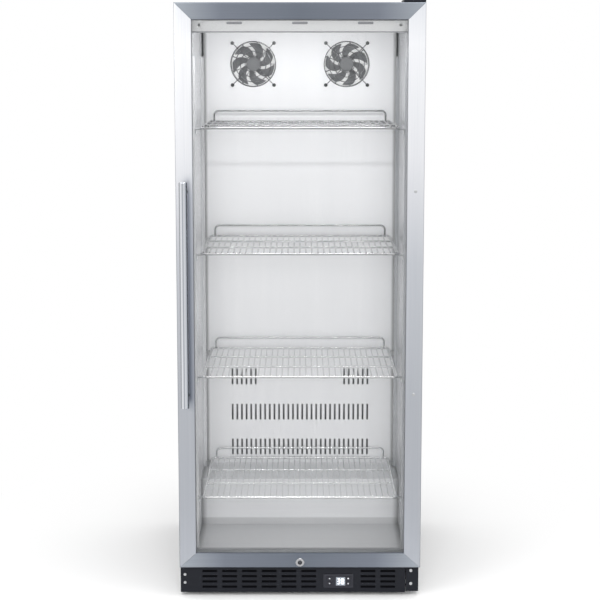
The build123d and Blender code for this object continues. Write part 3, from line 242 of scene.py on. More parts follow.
def brushed_steel(name, grain, dark, light, rough, metallic=1.0, depth=0.00003, band=40.0):
    """grain is the axis letter along which the scratches run, band the broad streaks per metre."""
    material, tree, shader = new_material(name, Metallic=metallic)
    fine = {"x": (6, 900, 900), "y": (900, 6, 900), "z": (900, 900, 6)}[grain]
    broad = {"x": (0.6, band, band), "y": (band, 0.6, band), "z": (band, band, 0.6)}[grain]
    scratches = noise(tree, stretched(tree, fine), 1.0, 4.0, 0.6)
    bands = noise(tree, stretched(tree, broad), 1.0, 2.0)
    mixed = tree.nodes.new("ShaderNodeMix")
    mixed.inputs["Factor"].default_value = 0.4
    tree.links.new(scratches, mixed.inputs["A"])
    tree.links.new(bands, mixed.inputs["B"])
    tone = mixed.outputs["Result"]
    tree.links.new(ramp(tree, tone, [(0.3, dark), (0.7, light)]), shader.inputs["Base Color"])
    tree.links.new(between(tree, scratches, rough * 0.8, rough * 1.25), shader.inputs["Roughness"])
    bump(tree, shader, scratches, 0.25, depth)
    return material


def rail_steel(name):
    """Lengthwise grain, with painted reflection: darker in the middle of the rail than at its mitred ends."""
    material, tree, shader = new_material(name, Metallic=0.9)
    scratches = noise(tree, stretched(tree, (5, 900, 900)), 1.0, 4.0, 0.6)
    away = tree.nodes.new("ShaderNodeMath")
    away.operation = "ABSOLUTE"
    tree.links.new(axis_value(tree, "X"), away.inputs[0])
    share = tree.nodes.new("ShaderNodeMapRange")
    share.inputs["From Max"].default_value = DOOR_HIGH.x
    tree.links.new(away.outputs["Value"], share.inputs["Value"])
    middle, near_end, end = (0.150, 0.170, 0.205), (0.19, 0.21, 0.25), (0.36, 0.39, 0.43)
    tone = ramp(tree, share.outputs["Result"], [(0.0, middle), (0.62, near_end), (1.0, end)])
    streaks = ramp(tree, scratches, [(0.25, grey(0.72)), (0.75, grey(1.0))])
    tree.links.new(multiplied(tree, tone, streaks, 0.5), shader.inputs["Base Color"])
    tree.links.new(between(tree, scratches, 0.28, 0.45), shader.inputs["Roughness"])
    bump(tree, shader, scratches, 0.25, 0.00003)
    return material


def bends(material):
    """Painted shade on the folded edge: the fold turns away from the room's light, so its colour is darkened."""
    times(material, "Y", FRONT_Y, FRONT_Y + 3.0 * MM,
          [(0.0, grey(1.0)), (0.06, grey(0.95)), (0.14, (0.42, 0.43, 0.46)), (0.75, grey(0.55)),
           (1.0, grey(0.82))])


def mirrored_bar(material):
    """Paints the handle's reflection on the stile: a soft darker band inwards of the bar.

    The band's weight is its share across, from the bar's edge, times its share up the bar."""
    tree, shader = parts_of(material)
    base = shader.inputs["Base Color"]
    across = ramp(tree, along_axis(tree, "X", BAR_LOW.x - 2 * MM, BAR_HIGH.x + 14 * MM),
                  [(0.0, grey(0.0)), (0.30, grey(0.10)), (0.62, grey(1.0)), (0.85, grey(0.55)),
                   (1.0, grey(0.0))])
    up = ramp(tree, along_axis(tree, "Z", BAR_LOW.z - 20 * MM, BAR_HIGH.z + 20 * MM),
              [(0.0, grey(0.0)), (0.06, grey(1.0)), (0.90, grey(0.8)), (1.0, grey(0.0))])
    weight = tree.nodes.new("ShaderNodeMath")
    weight.operation = "MULTIPLY"
    tree.links.new(across, weight.inputs[0])
    tree.links.new(up, weight.inputs[1])
    band = (0.50, 0.53, 0.60, 1.0)
    tree.links.new(multiplied(tree, base.links[0].from_socket, band, weight.outputs["Value"]), base)


BAR_LOW, BAR_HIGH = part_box("handle_bar")
DUCT_LOW, DUCT_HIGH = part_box("duct_panel")
STEP_LOW, STEP_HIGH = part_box("liner_floor")
STILE_STEEL = brushed_steel("stile_steel", "z", (0.86, 0.875, 0.91), (0.97, 0.975, 0.99), 0.30)
# Painted reflection: the stiles' colour runs dark at the bottom and bright near the top, as the room mirrored in
# them does.
times(STILE_STEEL, "Z", DOOR_LOW.z, DOOR_HIGH.z,
      [(0.0, (0.46, 0.475, 0.505)), (0.30, (0.50, 0.515, 0.54)), (0.55, (0.61, 0.625, 0.65)),
       (0.74, (0.88, 0.88, 0.89)), (0.93, grey(1.0)), (1.0, (0.86, 0.87, 0.89))])
bends(STILE_STEEL)
mirrored_bar(STILE_STEEL)
RAIL_STEEL = rail_steel("rail_steel")
bends(RAIL_STEEL)
HANDLE_STEEL = brushed_steel("handle_steel", "z", (0.86, 0.87, 0.89), (0.96, 0.97, 0.98), 0.20)
# Painted highlights and shade across the round bar: dark edges and bright lines near the middle, as the bar
# mirrors the room.
times(HANDLE_STEEL, "X", BAR_LOW.x, BAR_HIGH.x,
      [(0.0, (0.16, 0.17, 0.19)), (0.10, (0.34, 0.35, 0.38)), (0.24, (0.88, 0.89, 0.90)),
       (0.38, (0.66, 0.67, 0.70)), (0.48, (0.36, 0.38, 0.42)), (0.58, (0.70, 0.71, 0.73)),
       (0.78, (0.58, 0.60, 0.64)), (0.92, (0.22, 0.24, 0.28)), (1.0, (0.08, 0.09, 0.11))])
# The walls' broad light and dark streaks are partly the brushed grain and partly painted reflections.
WALL_STEEL = brushed_steel("wall_steel", "z", (0.62, 0.63, 0.65), (0.97, 0.97, 0.98), 0.24, 0.38, band=26.0)
# Painted shade: the walls darken behind the duct panel and towards the right-hand side.
times(WALL_STEEL, "Y", DUCT_HIGH.y - 2 * MM, DUCT_HIGH.y + 2 * MM, [(0.0, grey(1.0)), (1.0, grey(0.26))])
times(WALL_STEEL, "X", DUCT_LOW.x, DUCT_HIGH.x,
      [(0.0, grey(1.0)), (0.5, grey(0.9)), (1.0, (0.66, 0.67, 0.68))])
DUCT_STEEL = brushed_steel("duct_steel", "z", (0.90, 0.905, 0.92), (0.98, 0.98, 0.99), 0.42, 0.12)
# Painted shade: the duct panel darkens into its two side corners.
times(DUCT_STEEL, "X", DUCT_LOW.x, DUCT_HIGH.x,
      [(0.0, grey(0.30)), (0.008, grey(0.45)), (0.020, grey(0.98)), (0.980, grey(0.98)),
       (0.992, grey(0.45)), (1.0, grey(0.30))])
FLOOR_STEEL = brushed_steel("floor_steel", "x", (0.82, 0.825, 0.84), (0.93, 0.935, 0.95), 0.34, 0.22)
# Painted shade: the floor darkens along its lowest 22 mm and into both side corners.
times(FLOOR_STEEL, "Z", STEP_LOW.z, STEP_LOW.z + 22 * MM,
      [(0.0, grey(0.72)), (0.8, grey(0.76)), (1.0, grey(1.0))])
times(FLOOR_STEEL, "X", STEP_LOW.x, STEP_HIGH.x,
      [(0.0, grey(0.30)), (0.012, grey(0.62)), (0.03, grey(1.0)), (0.97, grey(1.0)),
       (0.988, grey(0.62)), (1.0, grey(0.30))])
FASTENER_STEEL = brushed_steel("fastener_steel", "x", (0.46, 0.47, 0.48), (0.60, 0.61, 0.62), 0.30)
SCREW_STEEL = brushed_steel("screw_steel", "x", (0.46, 0.47, 0.48), (0.60, 0.61, 0.62), 0.30)
# Painted shade: screws from about 40 mm in front of the duct panel backwards are darkened.
times(SCREW_STEEL, "Y", DUCT_LOW.y - 60 * MM, DUCT_LOW.y - 40 * MM, [(0.0, grey(1.0)), (1.0, grey(0.18))])
print("brushed steels ready")

# %% [markdown]
# ## Plated wire and plain metal
# Chrome plating on drawn wire is almost a mirror, softened by the faint waviness of
# the wire under it. Copper lines dull and brown where flux and heat touched them.
# Galvanised sheet shows large pale crystals, which a cell pattern gives.


# %% Chrome, copper, aluminium and galvanised sheet
def plated(name, colour, rough, ripple=60.0):
    material, tree, shader = new_material(name, Metallic=1.0, Base_Color=(*colour, 1.0))
    waves = noise(tree, stretched(tree, (1, 1, 1)), ripple, 2.0)
    tree.links.new(between(tree, waves, rough * 0.7, rough * 1.4), shader.inputs["Roughness"])
    bump(tree, shader, waves, 0.15, 0.0001)
    return material


def galvanised(name):
    material, tree, shader = new_material(name, Metallic=0.8)
    cells = tree.nodes.new("ShaderNodeTexVoronoi")
    cells.inputs["Scale"].default_value = 90.0
    tree.links.new(stretched(tree, (1, 1, 1)), cells.inputs["Vector"])
    shade = ramp(tree, cells.outputs["Color"], [(0.0, (0.34, 0.35, 0.36)), (1.0, (0.52, 0.53, 0.54))])
    tree.links.new(shade, shader.inputs["Base Color"])
    tree.links.new(between(tree, cells.outputs["Distance"], 0.38, 0.55), shader.inputs["Roughness"])
    return material


WIRE_CHROME = plated("wire_chrome", (0.66, 0.67, 0.68), 0.14)
GUARD_CHROME = plated("guard_chrome", (0.30, 0.30, 0.31), 0.18)
# Painted reflection: the shelf wire's colour is lightest on the lowest shelf and darkest on the highest.
tree, shader = parts_of(WIRE_CHROME)
heights = sorted((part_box("shelf_1")[1].z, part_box("shelf_4")[0].z))
mirrored = along_axis(tree, "Z", *heights)
painted_wire_reflection_tones = [(0.0, (0.88, 0.885, 0.89)), (0.35, (0.72, 0.725, 0.73)), (0.7, (0.54, 0.545, 0.55)),
              (1.0, (0.48, 0.485, 0.49))]
tree.links.new(ramp(tree, mirrored, painted_wire_reflection_tones), shader.inputs["Base Color"])
BRIGHT_CHROME = plated("bright_chrome", (0.38, 0.385, 0.40), 0.12)
FIN_ALUMINIUM = plated("fin_aluminium", (0.34, 0.35, 0.36), 0.38, 200.0)
COPPER = plated("drawn_copper", (0.72, 0.36, 0.22), 0.30)
ZINC_SHEET = galvanised("zinc_sheet")
print("plain metals ready")

# %% [markdown]
# ## Paint, plastics, rubber and foam
# Powder coat has a low orange-peel skin. Moulded plastic has a finer, sharper grain
# from the spark-eroded tool. Rubber is matt with a trace of bloom. One recipe serves
# them all: a base tone that wanders a little, a roughness that wanders with it, and
# a grain bump of the right size.


# %% Grained finishes
def grained(name, colour, rough, grain, depth, wander=0.12, shine=0.5):
    """grain is the size of the skin's pattern in metres, depth its height."""
    material, tree, shader = new_material(name, Specular_IOR_Level=shine)
    cloudy = noise(tree, stretched(tree, (1, 1, 1)), 7.0, 4.0)
    low = tuple(c * (1 - wander) for c in colour)
    high = tuple(min(1.0, c * (1 + wander)) for c in colour)
    tree.links.new(ramp(tree, cloudy, [(0.3, low), (0.7, high)]), shader.inputs["Base Color"])
    tree.links.new(between(tree, cloudy, rough * 0.9, rough * 1.1), shader.inputs["Roughness"])
    skin = noise(tree, stretched(tree, (1, 1, 1)), 1.0 / grain, 2.0)
    bump(tree, shader, skin, 0.35, depth)
    return material


BLACK_COAT = grained("black_powder_coat", (0.013, 0.013, 0.015), 0.38, 0.0016, 0.00006, shine=0.38)
BLACK_MOULDED = grained("black_moulded", (0.009, 0.010, 0.014), 0.46, 0.0008, 0.00004, shine=0.18)
CONTROL_PLASTIC = grained("control_plastic", (0.018, 0.019, 0.026), 0.34, 0.0005, 0.00002, shine=0.30)
CORE_PLASTIC = grained("core_plastic", (0.26, 0.265, 0.275), 0.50, 0.0010, 0.00004)
HEADER_WHITE = grained("header_white", (0.66, 0.665, 0.67), 0.42, 0.0010, 0.00003, 0.03)
FAN_PLASTIC = grained("fan_plastic", (0.185, 0.188, 0.195), 0.45, 0.0010, 0.00003)
FAN_HOUSING = grained("fan_housing_plastic", (0.62, 0.63, 0.64), 0.45, 0.0010, 0.00003)
WHITE_PLASTIC = grained("white_plastic", (0.80, 0.80, 0.79), 0.42, 0.0010, 0.00003, 0.03)
GASKET_RUBBER = grained("gasket_rubber", (0.30, 0.31, 0.32), 0.62, 0.0012, 0.00005)
BLACK_RUBBER = grained("black_rubber", (0.030, 0.030, 0.032), 0.70, 0.0012, 0.00005)
FOAM = grained("rigid_foam", (0.74, 0.70, 0.56), 0.85, 0.0030, 0.00040)
# Dark nickel is the lock cylinder's own colour; the same material on the screws' crosses is painted shade for
# their recesses.
NICKEL_AND_RECESS_SHADE = grained("dark_nickel_and_recess_shade", (0.055, 0.055, 0.060), 0.35, 0.0010, 0.00002)
parts_of(NICKEL_AND_RECESS_SHADE)[1].inputs["Metallic"].default_value = 0.9
print("grained finishes ready")

# %% [markdown]
# ## Glass and light
# A sealed glass unit is two clear panes. From the front almost all of the light goes
# straight through, and only a thin reflection shows, so each pane is a smooth shader
# that is nearly transparent. The header's diffuser glows faintly, as frosted plastic
# does with light behind it, and the digits are bright and cool.


# %% Glass, diffuser and lit digits
def clear_glass(name):
    material, tree, shader = new_material(name, Base_Color=(0.20, 0.22, 0.22, 1.0), IOR=1.5)
    smear = noise(tree, stretched(tree, (1, 1, 1)), 9.0, 3.0)
    tree.links.new(between(tree, smear, 0.02, 0.05), shader.inputs["Roughness"])
    shader.inputs["Alpha"].default_value = 0.022
    return material


def glowing(name, colour, strength, base):
    material, tree, shader = new_material(name, Emission_Strength=strength)
    shader.inputs["Emission Color"].default_value = (*colour, 1.0)
    frost = noise(tree, stretched(tree, (1, 1, 1)), 300.0, 2.0)
    shade = ramp(tree, frost, [(0.2, tuple(b * 0.95 for b in base)), (0.8, base)])
    tree.links.new(shade, shader.inputs["Base Color"])
    tree.links.new(between(tree, frost, 0.35, 0.5), shader.inputs["Roughness"])
    return material


def rounded_edges(material, radius):
    """Bends the shading over every sharp edge, as paint does, radius wide."""
    tree = material.node_tree
    edge = tree.nodes.new("ShaderNodeBevel")
    edge.samples = 4
    edge.inputs["Radius"].default_value = radius
    skin = next(node for node in tree.nodes if node.bl_idname == "ShaderNodeBump")
    tree.links.new(edge.outputs["Normal"], skin.inputs["Normal"])


rounded_edges(BLACK_COAT, 2.5 * MM)
rounded_edges(CONTROL_PLASTIC, 0.8 * MM)
CLEAR_GLASS = clear_glass("clear_glass")
DIFFUSER = glowing("frosted_diffuser", (1.0, 1.0, 1.0), 0.08, (0.60, 0.605, 0.61))
DISPLAY = glowing("display_window", (0.50, 0.55, 0.60), 0.22, (0.20, 0.22, 0.25))
DIGITS = glowing("lit_digits", (0.92, 0.97, 1.0), 2.2, (0.9, 0.9, 0.9))
# The button marks glow faintly: painted light, for they are no lamp.
GLYPH = glowing("printed_glyph_painted_glow", (0.75, 0.77, 0.80), 0.15, (0.62, 0.64, 0.67))
print("glass and light ready")

# %% [markdown]
# ## Dress the construction
# One table says which finish each settled piece wears. The pieces keep their own
# meshes; only the material slot changes.

# %% Give every settled piece its finish
FINISHES = {
    BLACK_COAT: ["cabinet_shell", "machine_rear_cover", "front_frame", "top_hinge", "compressor"],
    BLACK_MOULDED: ["kick_grille", "bottom_hinge", "top_hinge_cover", "levelling_feet", "compressor_relay",
                    "condenser_fan_housing"],
    CONTROL_PLASTIC: ["controller_case", "controller_button_1", "controller_button_2",
                      "controller_button_3", "controller_button_4"],
    CORE_PLASTIC: ["door_core"],
    WALL_STEEL: ["liner_walls", "pilasters"],
    DUCT_STEEL: ["duct_panel"],
    FLOOR_STEEL: ["liner_floor"],
    STILE_STEEL: ["door_stiles"],
    RAIL_STEEL: ["door_rails"],
    HANDLE_STEEL: ["handle_bar"],
    FASTENER_STEEL: ["shelf_clips", "stile_plugs"],
    SCREW_STEEL: ["screws"],
    WIRE_CHROME: ["shelf_1", "shelf_2", "shelf_3", "shelf_4"],
    GUARD_CHROME: ["fan_guards"],
    BRIGHT_CHROME: ["handle_posts", "lock_housing", "lock_cam"],
    NICKEL_AND_RECESS_SHADE: ["lock_cylinder"],
    FIN_ALUMINIUM: ["evaporator_coil", "condenser_coil", "glass_spacer"],
    COPPER: ["refrigerant_lines"],
    ZINC_SHEET: ["base_frame", "undertray"],
    FAN_PLASTIC: ["fan_blade_left", "fan_blade_right", "condenser_fan_blade"],
    FAN_HOUSING: ["fan_frames"],
    WHITE_PLASTIC: ["header_light_board", "drip_tray"],
    HEADER_WHITE: ["header_housing", "header_end_caps"],
    DIFFUSER: ["header_diffuser"],
    DISPLAY: ["controller_display"],
    CLEAR_GLASS: ["glass_outer", "glass_inner"],
    GASKET_RUBBER: ["door_gasket", "drain_tube"],
    BLACK_RUBBER: ["compressor_mounts"],
    FOAM: ["insulation"],
}
dressed = 0
for finish, nodes in FINISHES.items():
    for node in nodes:
        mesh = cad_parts[node].data
        mesh.materials.clear()
        mesh.materials.append(finish)
        dressed += 1
print(dressed, "of", len(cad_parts), "settled pieces dressed")
bare = set(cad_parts) - {node for nodes in FINISHES.values() for node in nodes}
print("bare pieces:", sorted(bare))

# %% [markdown]
# ## Surfaces from arrays
# The new pieces are grids of points. A grid has rows and columns, and each cell of
# it is one four-sided face. Wrapping a direction joins its last line to its first,
# which turns a strip into a tube and a tube into a ring.


# %% Turn grids of points into pieces
def grid_faces(rows, columns, wrap_rows, wrap_columns, first=0):
    """Corner numbers of every cell, counted row by row from first."""
    i = np.arange(rows if wrap_rows else rows - 1)
    j = np.arange(columns if wrap_columns else columns - 1)
    i, j = (a.ravel() for a in np.meshgrid(i, j, indexing="ij"))
    up, along = (i + 1) % rows, (j + 1) % columns
    cells = np.stack([i * columns + j, i * columns + along, up * columns + along, up * columns + j], axis=1)
    return cells + first


def piece_from(name, grids, body, finish, sharp=35.0, caps=False):
    """One mesh from several (points, wrap rows, wrap columns) grids, facing outwards.

    With caps, the first and last row of every grid are closed with one flat face."""
    points, faces, first = [], [], 0
    for grid, wrap_rows, wrap_columns in grids:
        rows, columns, _ = grid.shape
        points.append(grid.reshape(-1, 3))
        faces += grid_faces(rows, columns, wrap_rows, wrap_columns, first).tolist()
        if caps:
            faces.append(list(range(first, first + columns)))
            faces.append(list(range(first + (rows - 1) * columns, first + rows * columns)))
        first += rows * columns
    mesh = bpy.data.meshes.new(name)
    mesh.from_pydata(np.concatenate(points).tolist(), [], faces)
    return finished(name, mesh, body, finish, sharp)


def finished(name, mesh, body, finish, sharp=35.0):
    """Cleans a mesh, turns its faces outwards and lets it ride on a body."""
    work = bmesh.new()
    work.from_mesh(mesh)
    bmesh.ops.remove_doubles(work, verts=work.verts, dist=1e-7)
    bmesh.ops.dissolve_degenerate(work, dist=1e-8, edges=work.edges)
    bmesh.ops.recalc_face_normals(work, faces=work.faces)
    work.to_mesh(mesh)
    work.free()
    mesh.shade_smooth()
    mesh.set_sharp_from_angle(angle=math.radians(sharp))
    mesh.materials.append(finish)
    piece = bpy.data.objects.new(name, mesh)
    bpy.context.collection.objects.link(piece)
    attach(piece, body)
    print(name, len(mesh.polygons), "faces")
    return piece


def closed_ends(loops):
    """Adds a row at each end that gathers a tube's end at its middle."""
    first = np.repeat(loops[:1].mean(axis=1, keepdims=True), loops.shape[1], axis=1)
    last = np.repeat(loops[-1:].mean(axis=1, keepdims=True), loops.shape[1], axis=1)
    return np.concatenate([first, loops, last])


def flat_shapes(name, outlines, front, thick, body, finish):
    """Thin plates cut to (x, z) outlines, from the depth front backwards by thick."""
    points, faces = [], []
    for outline in outlines:
        first, count = len(points), len(outline)
        points += [(x, front, z) for x, z in outline]
        points += [(x, front + thick, z) for x, z in outline]
        faces.append([first + i for i in range(count)])
        faces.append([first + count + i for i in reversed(range(count))])
        faces += [[first + i, first + (i + 1) % count, first + count + (i + 1) % count, first + count + i]
                  for i in range(count)]
    mesh = bpy.data.meshes.new(name)
    mesh.from_pydata(points, [], faces)
    return finished(name, mesh, body, finish, 20.0)


def arc(cx, cy, radius, start, end, steps):
    """Points on a circle from start to end degrees: centre plus radius times (cos, sin)."""
    turn = np.radians(np.linspace(start, end, steps))
    return np.stack([cx + radius * np.cos(turn), cy + radius * np.sin(turn)], axis=1)


print("shape helpers ready")

# %% [markdown]
# ## The door's trim
# Four channels of thin stainless sheet wrap the door's frame, folded on a press brake.
# The fold leaves a small round along each edge, and that round, with painted shade on
# the fold, draws the bright and dark lines down the sides of the door. The four
# channels meet in mitres that run from the outer corner to the corner of the glass,
# with a hair of a gap.
# Each channel is one profile carried along its member, its two ends cut aslant. A
# window in the lower rail's return lets the lock's cam swing down into the strike.


# %% Fold the four mitred channels
def trim_profile(width, outer_return, inner_return, sheet=1.2 * MM, bend=2.2 * MM):
    """Closed loop of (across, depth): out along the skin, back along its inside.

    Every bend is a quarter circle: bend outside and bend minus sheet inside."""
    inside = bend - sheet
    skin = [[(0.0, outer_return)], arc(bend, bend, bend, 180, 270, 7),
            arc(width - bend, bend, bend, 270, 360, 7), [(width, inner_return)]]
    back = [[(width - sheet, inner_return)], arc(width - bend, bend, inside, 360, 270, 7),
            arc(bend, bend, inside, 270, 180, 7), [(sheet, outer_return)]]
    return np.concatenate([np.asarray(part, dtype=float) for part in skin + back])


def channel(profile, side, upright, near, far, low_slope, high_slope):
    """One channel as a (2, points) grid.

    A point at distance a in from the outer edge starts at near + a * low_slope and
    ends at far - a * high_slope, which cuts both ends on the mitre."""
    across, depth = profile[:, 0], profile[:, 1]
    starts = near + across * low_slope + MITRE_GAP
    ends = far - across * high_slope - MITRE_GAP
    along = np.stack([starts, ends])
    edge = side - np.sign(side - MIDDLE[0 if upright else 1]) * across
    edge = np.broadcast_to(edge, along.shape)
    y = np.broadcast_to(FRONT_Y + depth, along.shape)
    return np.stack([edge, y, along] if upright else [along, y, edge], axis=-1)


MITRE_GAP = 0.25 * MM
MIDDLE = ((DOOR_LOW.x + DOOR_HIGH.x) / 2, (DOOR_LOW.z + DOOR_HIGH.z) / 2)
RETURN = DOOR_HIGH.y - DOOR_LOW.y
GLAZING = GLASS_LOW.y - FRONT_Y
stile = trim_profile(STILE, RETURN, GLAZING)
stile_grids = [(channel(stile, side, True, DOOR_LOW.z, DOOR_HIGH.z, BOTTOM_RAIL / STILE, TOP_RAIL / STILE),
                False, True) for side in (DOOR_LOW.x, DOOR_HIGH.x)]
trim_stiles = piece_from("trim_stiles", stile_grids, "door", STILE_STEEL, 40, caps=True)
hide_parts("door_stiles")
rail_grids = []
for edge, tall in ((DOOR_HIGH.z, TOP_RAIL), (DOOR_LOW.z, BOTTOM_RAIL)):
    rail = trim_profile(tall, RETURN, GLAZING)
    rail_grids.append((channel(rail, edge, False, DOOR_LOW.x, DOOR_HIGH.x, STILE / tall, STILE / tall),
                       False, True))
trim_rails = piece_from("trim_rails", rail_grids, "door", RAIL_STEEL, 40, caps=True)
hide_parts("door_rails")


def cut_box(piece, low, high):
    """Cuts a box-shaped window out of a piece and keeps its materials and normals."""
    points = [(x, y, z) for x in (low[0], high[0]) for y in (low[1], high[1]) for z in (low[2], high[2])]
    faces = [(0, 1, 3, 2), (4, 6, 7, 5), (0, 4, 5, 1), (2, 3, 7, 6), (0, 2, 6, 4), (1, 5, 7, 3)]
    mesh = bpy.data.meshes.new("cutter")
    mesh.from_pydata(points, [], faces)
    cutter = bpy.data.objects.new("cutter", mesh)
    bpy.context.collection.objects.link(cutter)
    cut = piece.modifiers.new("cut", "BOOLEAN")
    cut.operation, cut.solver, cut.object = "DIFFERENCE", "EXACT", cutter
    graph = bpy.context.evaluated_depsgraph_get()
    made = bpy.data.meshes.new_from_object(piece.evaluated_get(graph))
    piece.modifiers.clear()
    old, piece.data = piece.data, made
    bpy.data.meshes.remove(old)
    bpy.data.objects.remove(cutter)
    bpy.data.meshes.remove(mesh)
    print(piece.name, "after the cut:", len(made.polygons), "faces")


CAM_LOW, CAM_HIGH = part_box("lock_cam")
cut_box(trim_rails, (CAM_LOW.x - 2 * MM, CAM_LOW.y - 3 * MM, DOOR_LOW.z - 1 * MM),
        (CAM_HIGH.x + 1 * MM, CAM_HIGH.y + 3 * MM, DOOR_LOW.z + 1.8 * MM))

# %% [markdown]
# ## The magnetic gasket
# A door gasket is an extruded soft bellows: a flat dart that presses into the door,
# two folds that let it give, and a pocket along its face that holds the magnet. It
# is cut to length and welded at the corners into one ring.


# %% Sweep the gasket's bellows round the door
def gasket_profile(wide, tall):
    """Half the outline leans in and out with a cosine, then it closes along the back.

    The waist narrows by waist * (1 - cos) between the dart and the magnet pocket."""
    rise = np.linspace(0.0, 1.0, 15)
    waist = 0.11 * wide * (1 - np.cos(2 * np.pi * np.clip(rise * 1.35, 0, 1))) / 2
    fold = 0.05 * wide * np.sin(3 * np.pi * rise) ** 2
    left = np.stack([waist + fold, rise * tall], axis=1)
    right = np.stack([wide - waist - fold, rise * tall], axis=1)[::-1]
    return np.concatenate([left, right])


def ring_of(profile, low, high):
    """Carries (inwards, depth) points round a rectangle, one row for each corner."""
    inward, depth = profile[:, 0], profile[:, 1]
    corners = [(low.x, low.z, 1, 1), (high.x, low.z, -1, 1), (high.x, high.z, -1, -1), (low.x, high.z, 1, -1)]
    rows = [np.stack([x + sx * inward, low.y + depth, z + sz * inward], axis=1) for x, z, sx, sz in corners]
    return np.stack(rows)


SEAL_LOW, SEAL_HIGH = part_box("door_gasket")
SEAL_WIDE = 16.0 * MM
seal = gasket_profile(SEAL_WIDE, SEAL_HIGH.y - SEAL_LOW.y)
gasket = piece_from("bellows_gasket", [(ring_of(seal, SEAL_LOW, SEAL_HIGH), True, True)], "door",
                    GASKET_RUBBER, 50)
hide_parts("door_gasket")

# %% [markdown]
# ## Fan guards
# A finger guard is four hoops of chromed wire welded to four legs that run out to
# the fan's screws. The wire is round, so every hoop catches one thin highlight. Each
# leg ends in an eye round its screw.


# %% Bend the guards from round wire
def hoop(centre, radius, wire, plane_y, steps=96, round_steps=10):
    """A torus: the hoop's angle gives the place, the wire's angle the surface.

    Out from the centre by radius + wire * cos(b), and ahead by wire * sin(b)."""
    a, b = np.meshgrid(np.linspace(0, TURN, steps, endpoint=False),
                       np.linspace(0, TURN, round_steps, endpoint=False), indexing="ij")
    out = radius + wire * np.cos(b)
    return np.stack([centre[0] + out * np.cos(a), plane_y + wire * np.sin(b), centre[1] + out * np.sin(a)],
                    axis=-1)


def tube(path, wire, round_steps=10):
    """A round wire along a path of points, closed at both ends.

    Each row is a circle square to the path: point + wire * (cos(b) * n + sin(b) * m)."""
    path = np.asarray(path, dtype=float)
    ahead = np.gradient(path, axis=0)
    ahead /= np.linalg.norm(ahead, axis=1, keepdims=True)
    helper = np.array([0.0, 1.0, 0.0]) if abs(ahead[0, 1]) < 0.9 else np.array([1.0, 0.0, 0.0])
    n = np.cross(ahead, helper)
    n /= np.linalg.norm(n, axis=1, keepdims=True)
    m = np.cross(ahead, n)
    b = np.linspace(0, TURN, round_steps, endpoint=False)[None, :, None]
    return closed_ends(path[:, None] + wire * (np.cos(b) * n[:, None] + np.sin(b) * m[:, None]))


TURN = 2 * np.pi
GUARD_LOW, GUARD_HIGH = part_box("fan_guards")
RING_RADII = [22 * MM, 35 * MM, 48 * MM, 61 * MM]
RING_WIRE = 1.1 * MM
SCREW_HALF = 56.5 * MM       # from the fan's axis to each screw, across and up
EYE_RADIUS = 3.9 * MM
ring_y = GUARD_LOW.y + RING_WIRE
leg_y = ring_y + 1.6 * RING_WIRE
guard_grids = []
for blade in ("fan_blade_left", "fan_blade_right"):
    low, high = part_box(blade)
    centre = ((low.x + high.x) / 2, (low.z + high.z) / 2)
    guard_grids += [(hoop(centre, radius, RING_WIRE, ring_y), True, True) for radius in RING_RADII]
    for sx, sz in ((1, 1), (1, -1), (-1, 1), (-1, -1)):
        reach = np.linspace(RING_RADII[0] / math.sqrt(2), SCREW_HALF - 3.0 * MM, 12)
        dip = np.clip((reach - 0.8 * SCREW_HALF) / (0.15 * SCREW_HALF), 0, 1) * (GUARD_HIGH.y - leg_y - RING_WIRE)
        path = np.stack([centre[0] + sx * reach, leg_y + dip, centre[1] + sz * reach], axis=1)
        guard_grids.append((tube(path, RING_WIRE), False, True))
        eye = (centre[0] + sx * SCREW_HALF, centre[1] + sz * SCREW_HALF)
        guard_grids.append((hoop(eye, EYE_RADIUS, RING_WIRE, GUARD_HIGH.y - RING_WIRE, 32, 8), True, True))
guards = piece_from("wire_guards", guard_grids, "cabinet", GUARD_CHROME, 60)
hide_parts("fan_guards")

# %% [markdown]
# ## The fans' rotors
# An axial fan of this kind is moulded in one piece: a round hub over the motor and
# seven wide blades that sweep forwards towards their tips. Each blade is pitched like
# a propeller, so it pushes air through as it turns. The two rotors are mirror
# images. A blade is a sheet over (radius, share of its chord); its middle line
# leans ahead with the radius and its chord dips from one edge to the other. Pale
# guide vanes stand close behind the blades and show between them, with a faint
# painted glow.

# %% Mould the two rotors


def blade_sheet(hub, tip, turn, sweep, chord, pitch, thick, hand):
    """A closed blade: its front and back sheets joined round the rim.

    angle = turn + sweep * share of span + chord * (share of chord - 1/2), and the
    depth falls by pitch * (share of chord - 1/2), less towards the tip."""
    span, across = np.meshgrid(np.linspace(0, 1, 12), np.linspace(0, 1, 12), indexing="ij")
    radius = hub + (tip - hub) * span
    rounded = chord * (0.82 + 0.30 * span - 0.34 * span ** 6)
    angle = turn + hand * (sweep * span ** 1.3 + rounded * (across - 0.5))
    depth = -pitch * (across - 0.5) * (1 - 0.25 * span)
    lens = thick * np.sqrt(np.clip(1 - (2 * across - 1) ** 2, 0, 1)) * np.clip((1 - span) * 12, 0, 1)
    sheets = [np.stack([radius * np.cos(angle), depth + side * lens / 2, radius * np.sin(angle)], axis=-1)
              for side in (-1, 1)]
    return np.concatenate([sheets[0], sheets[1][:, ::-1]], axis=1)


def lathe(profile, steps=64):
    """Turns (radius, depth) points round the depth axis."""
    a = np.linspace(0, TURN, steps, endpoint=False)
    radius, depth = profile[:, 0], profile[:, 1]
    return np.stack([radius[:, None] * np.cos(a), np.broadcast_to(depth[:, None], (len(radius), steps)),
                     radius[:, None] * np.sin(a)], axis=-1)


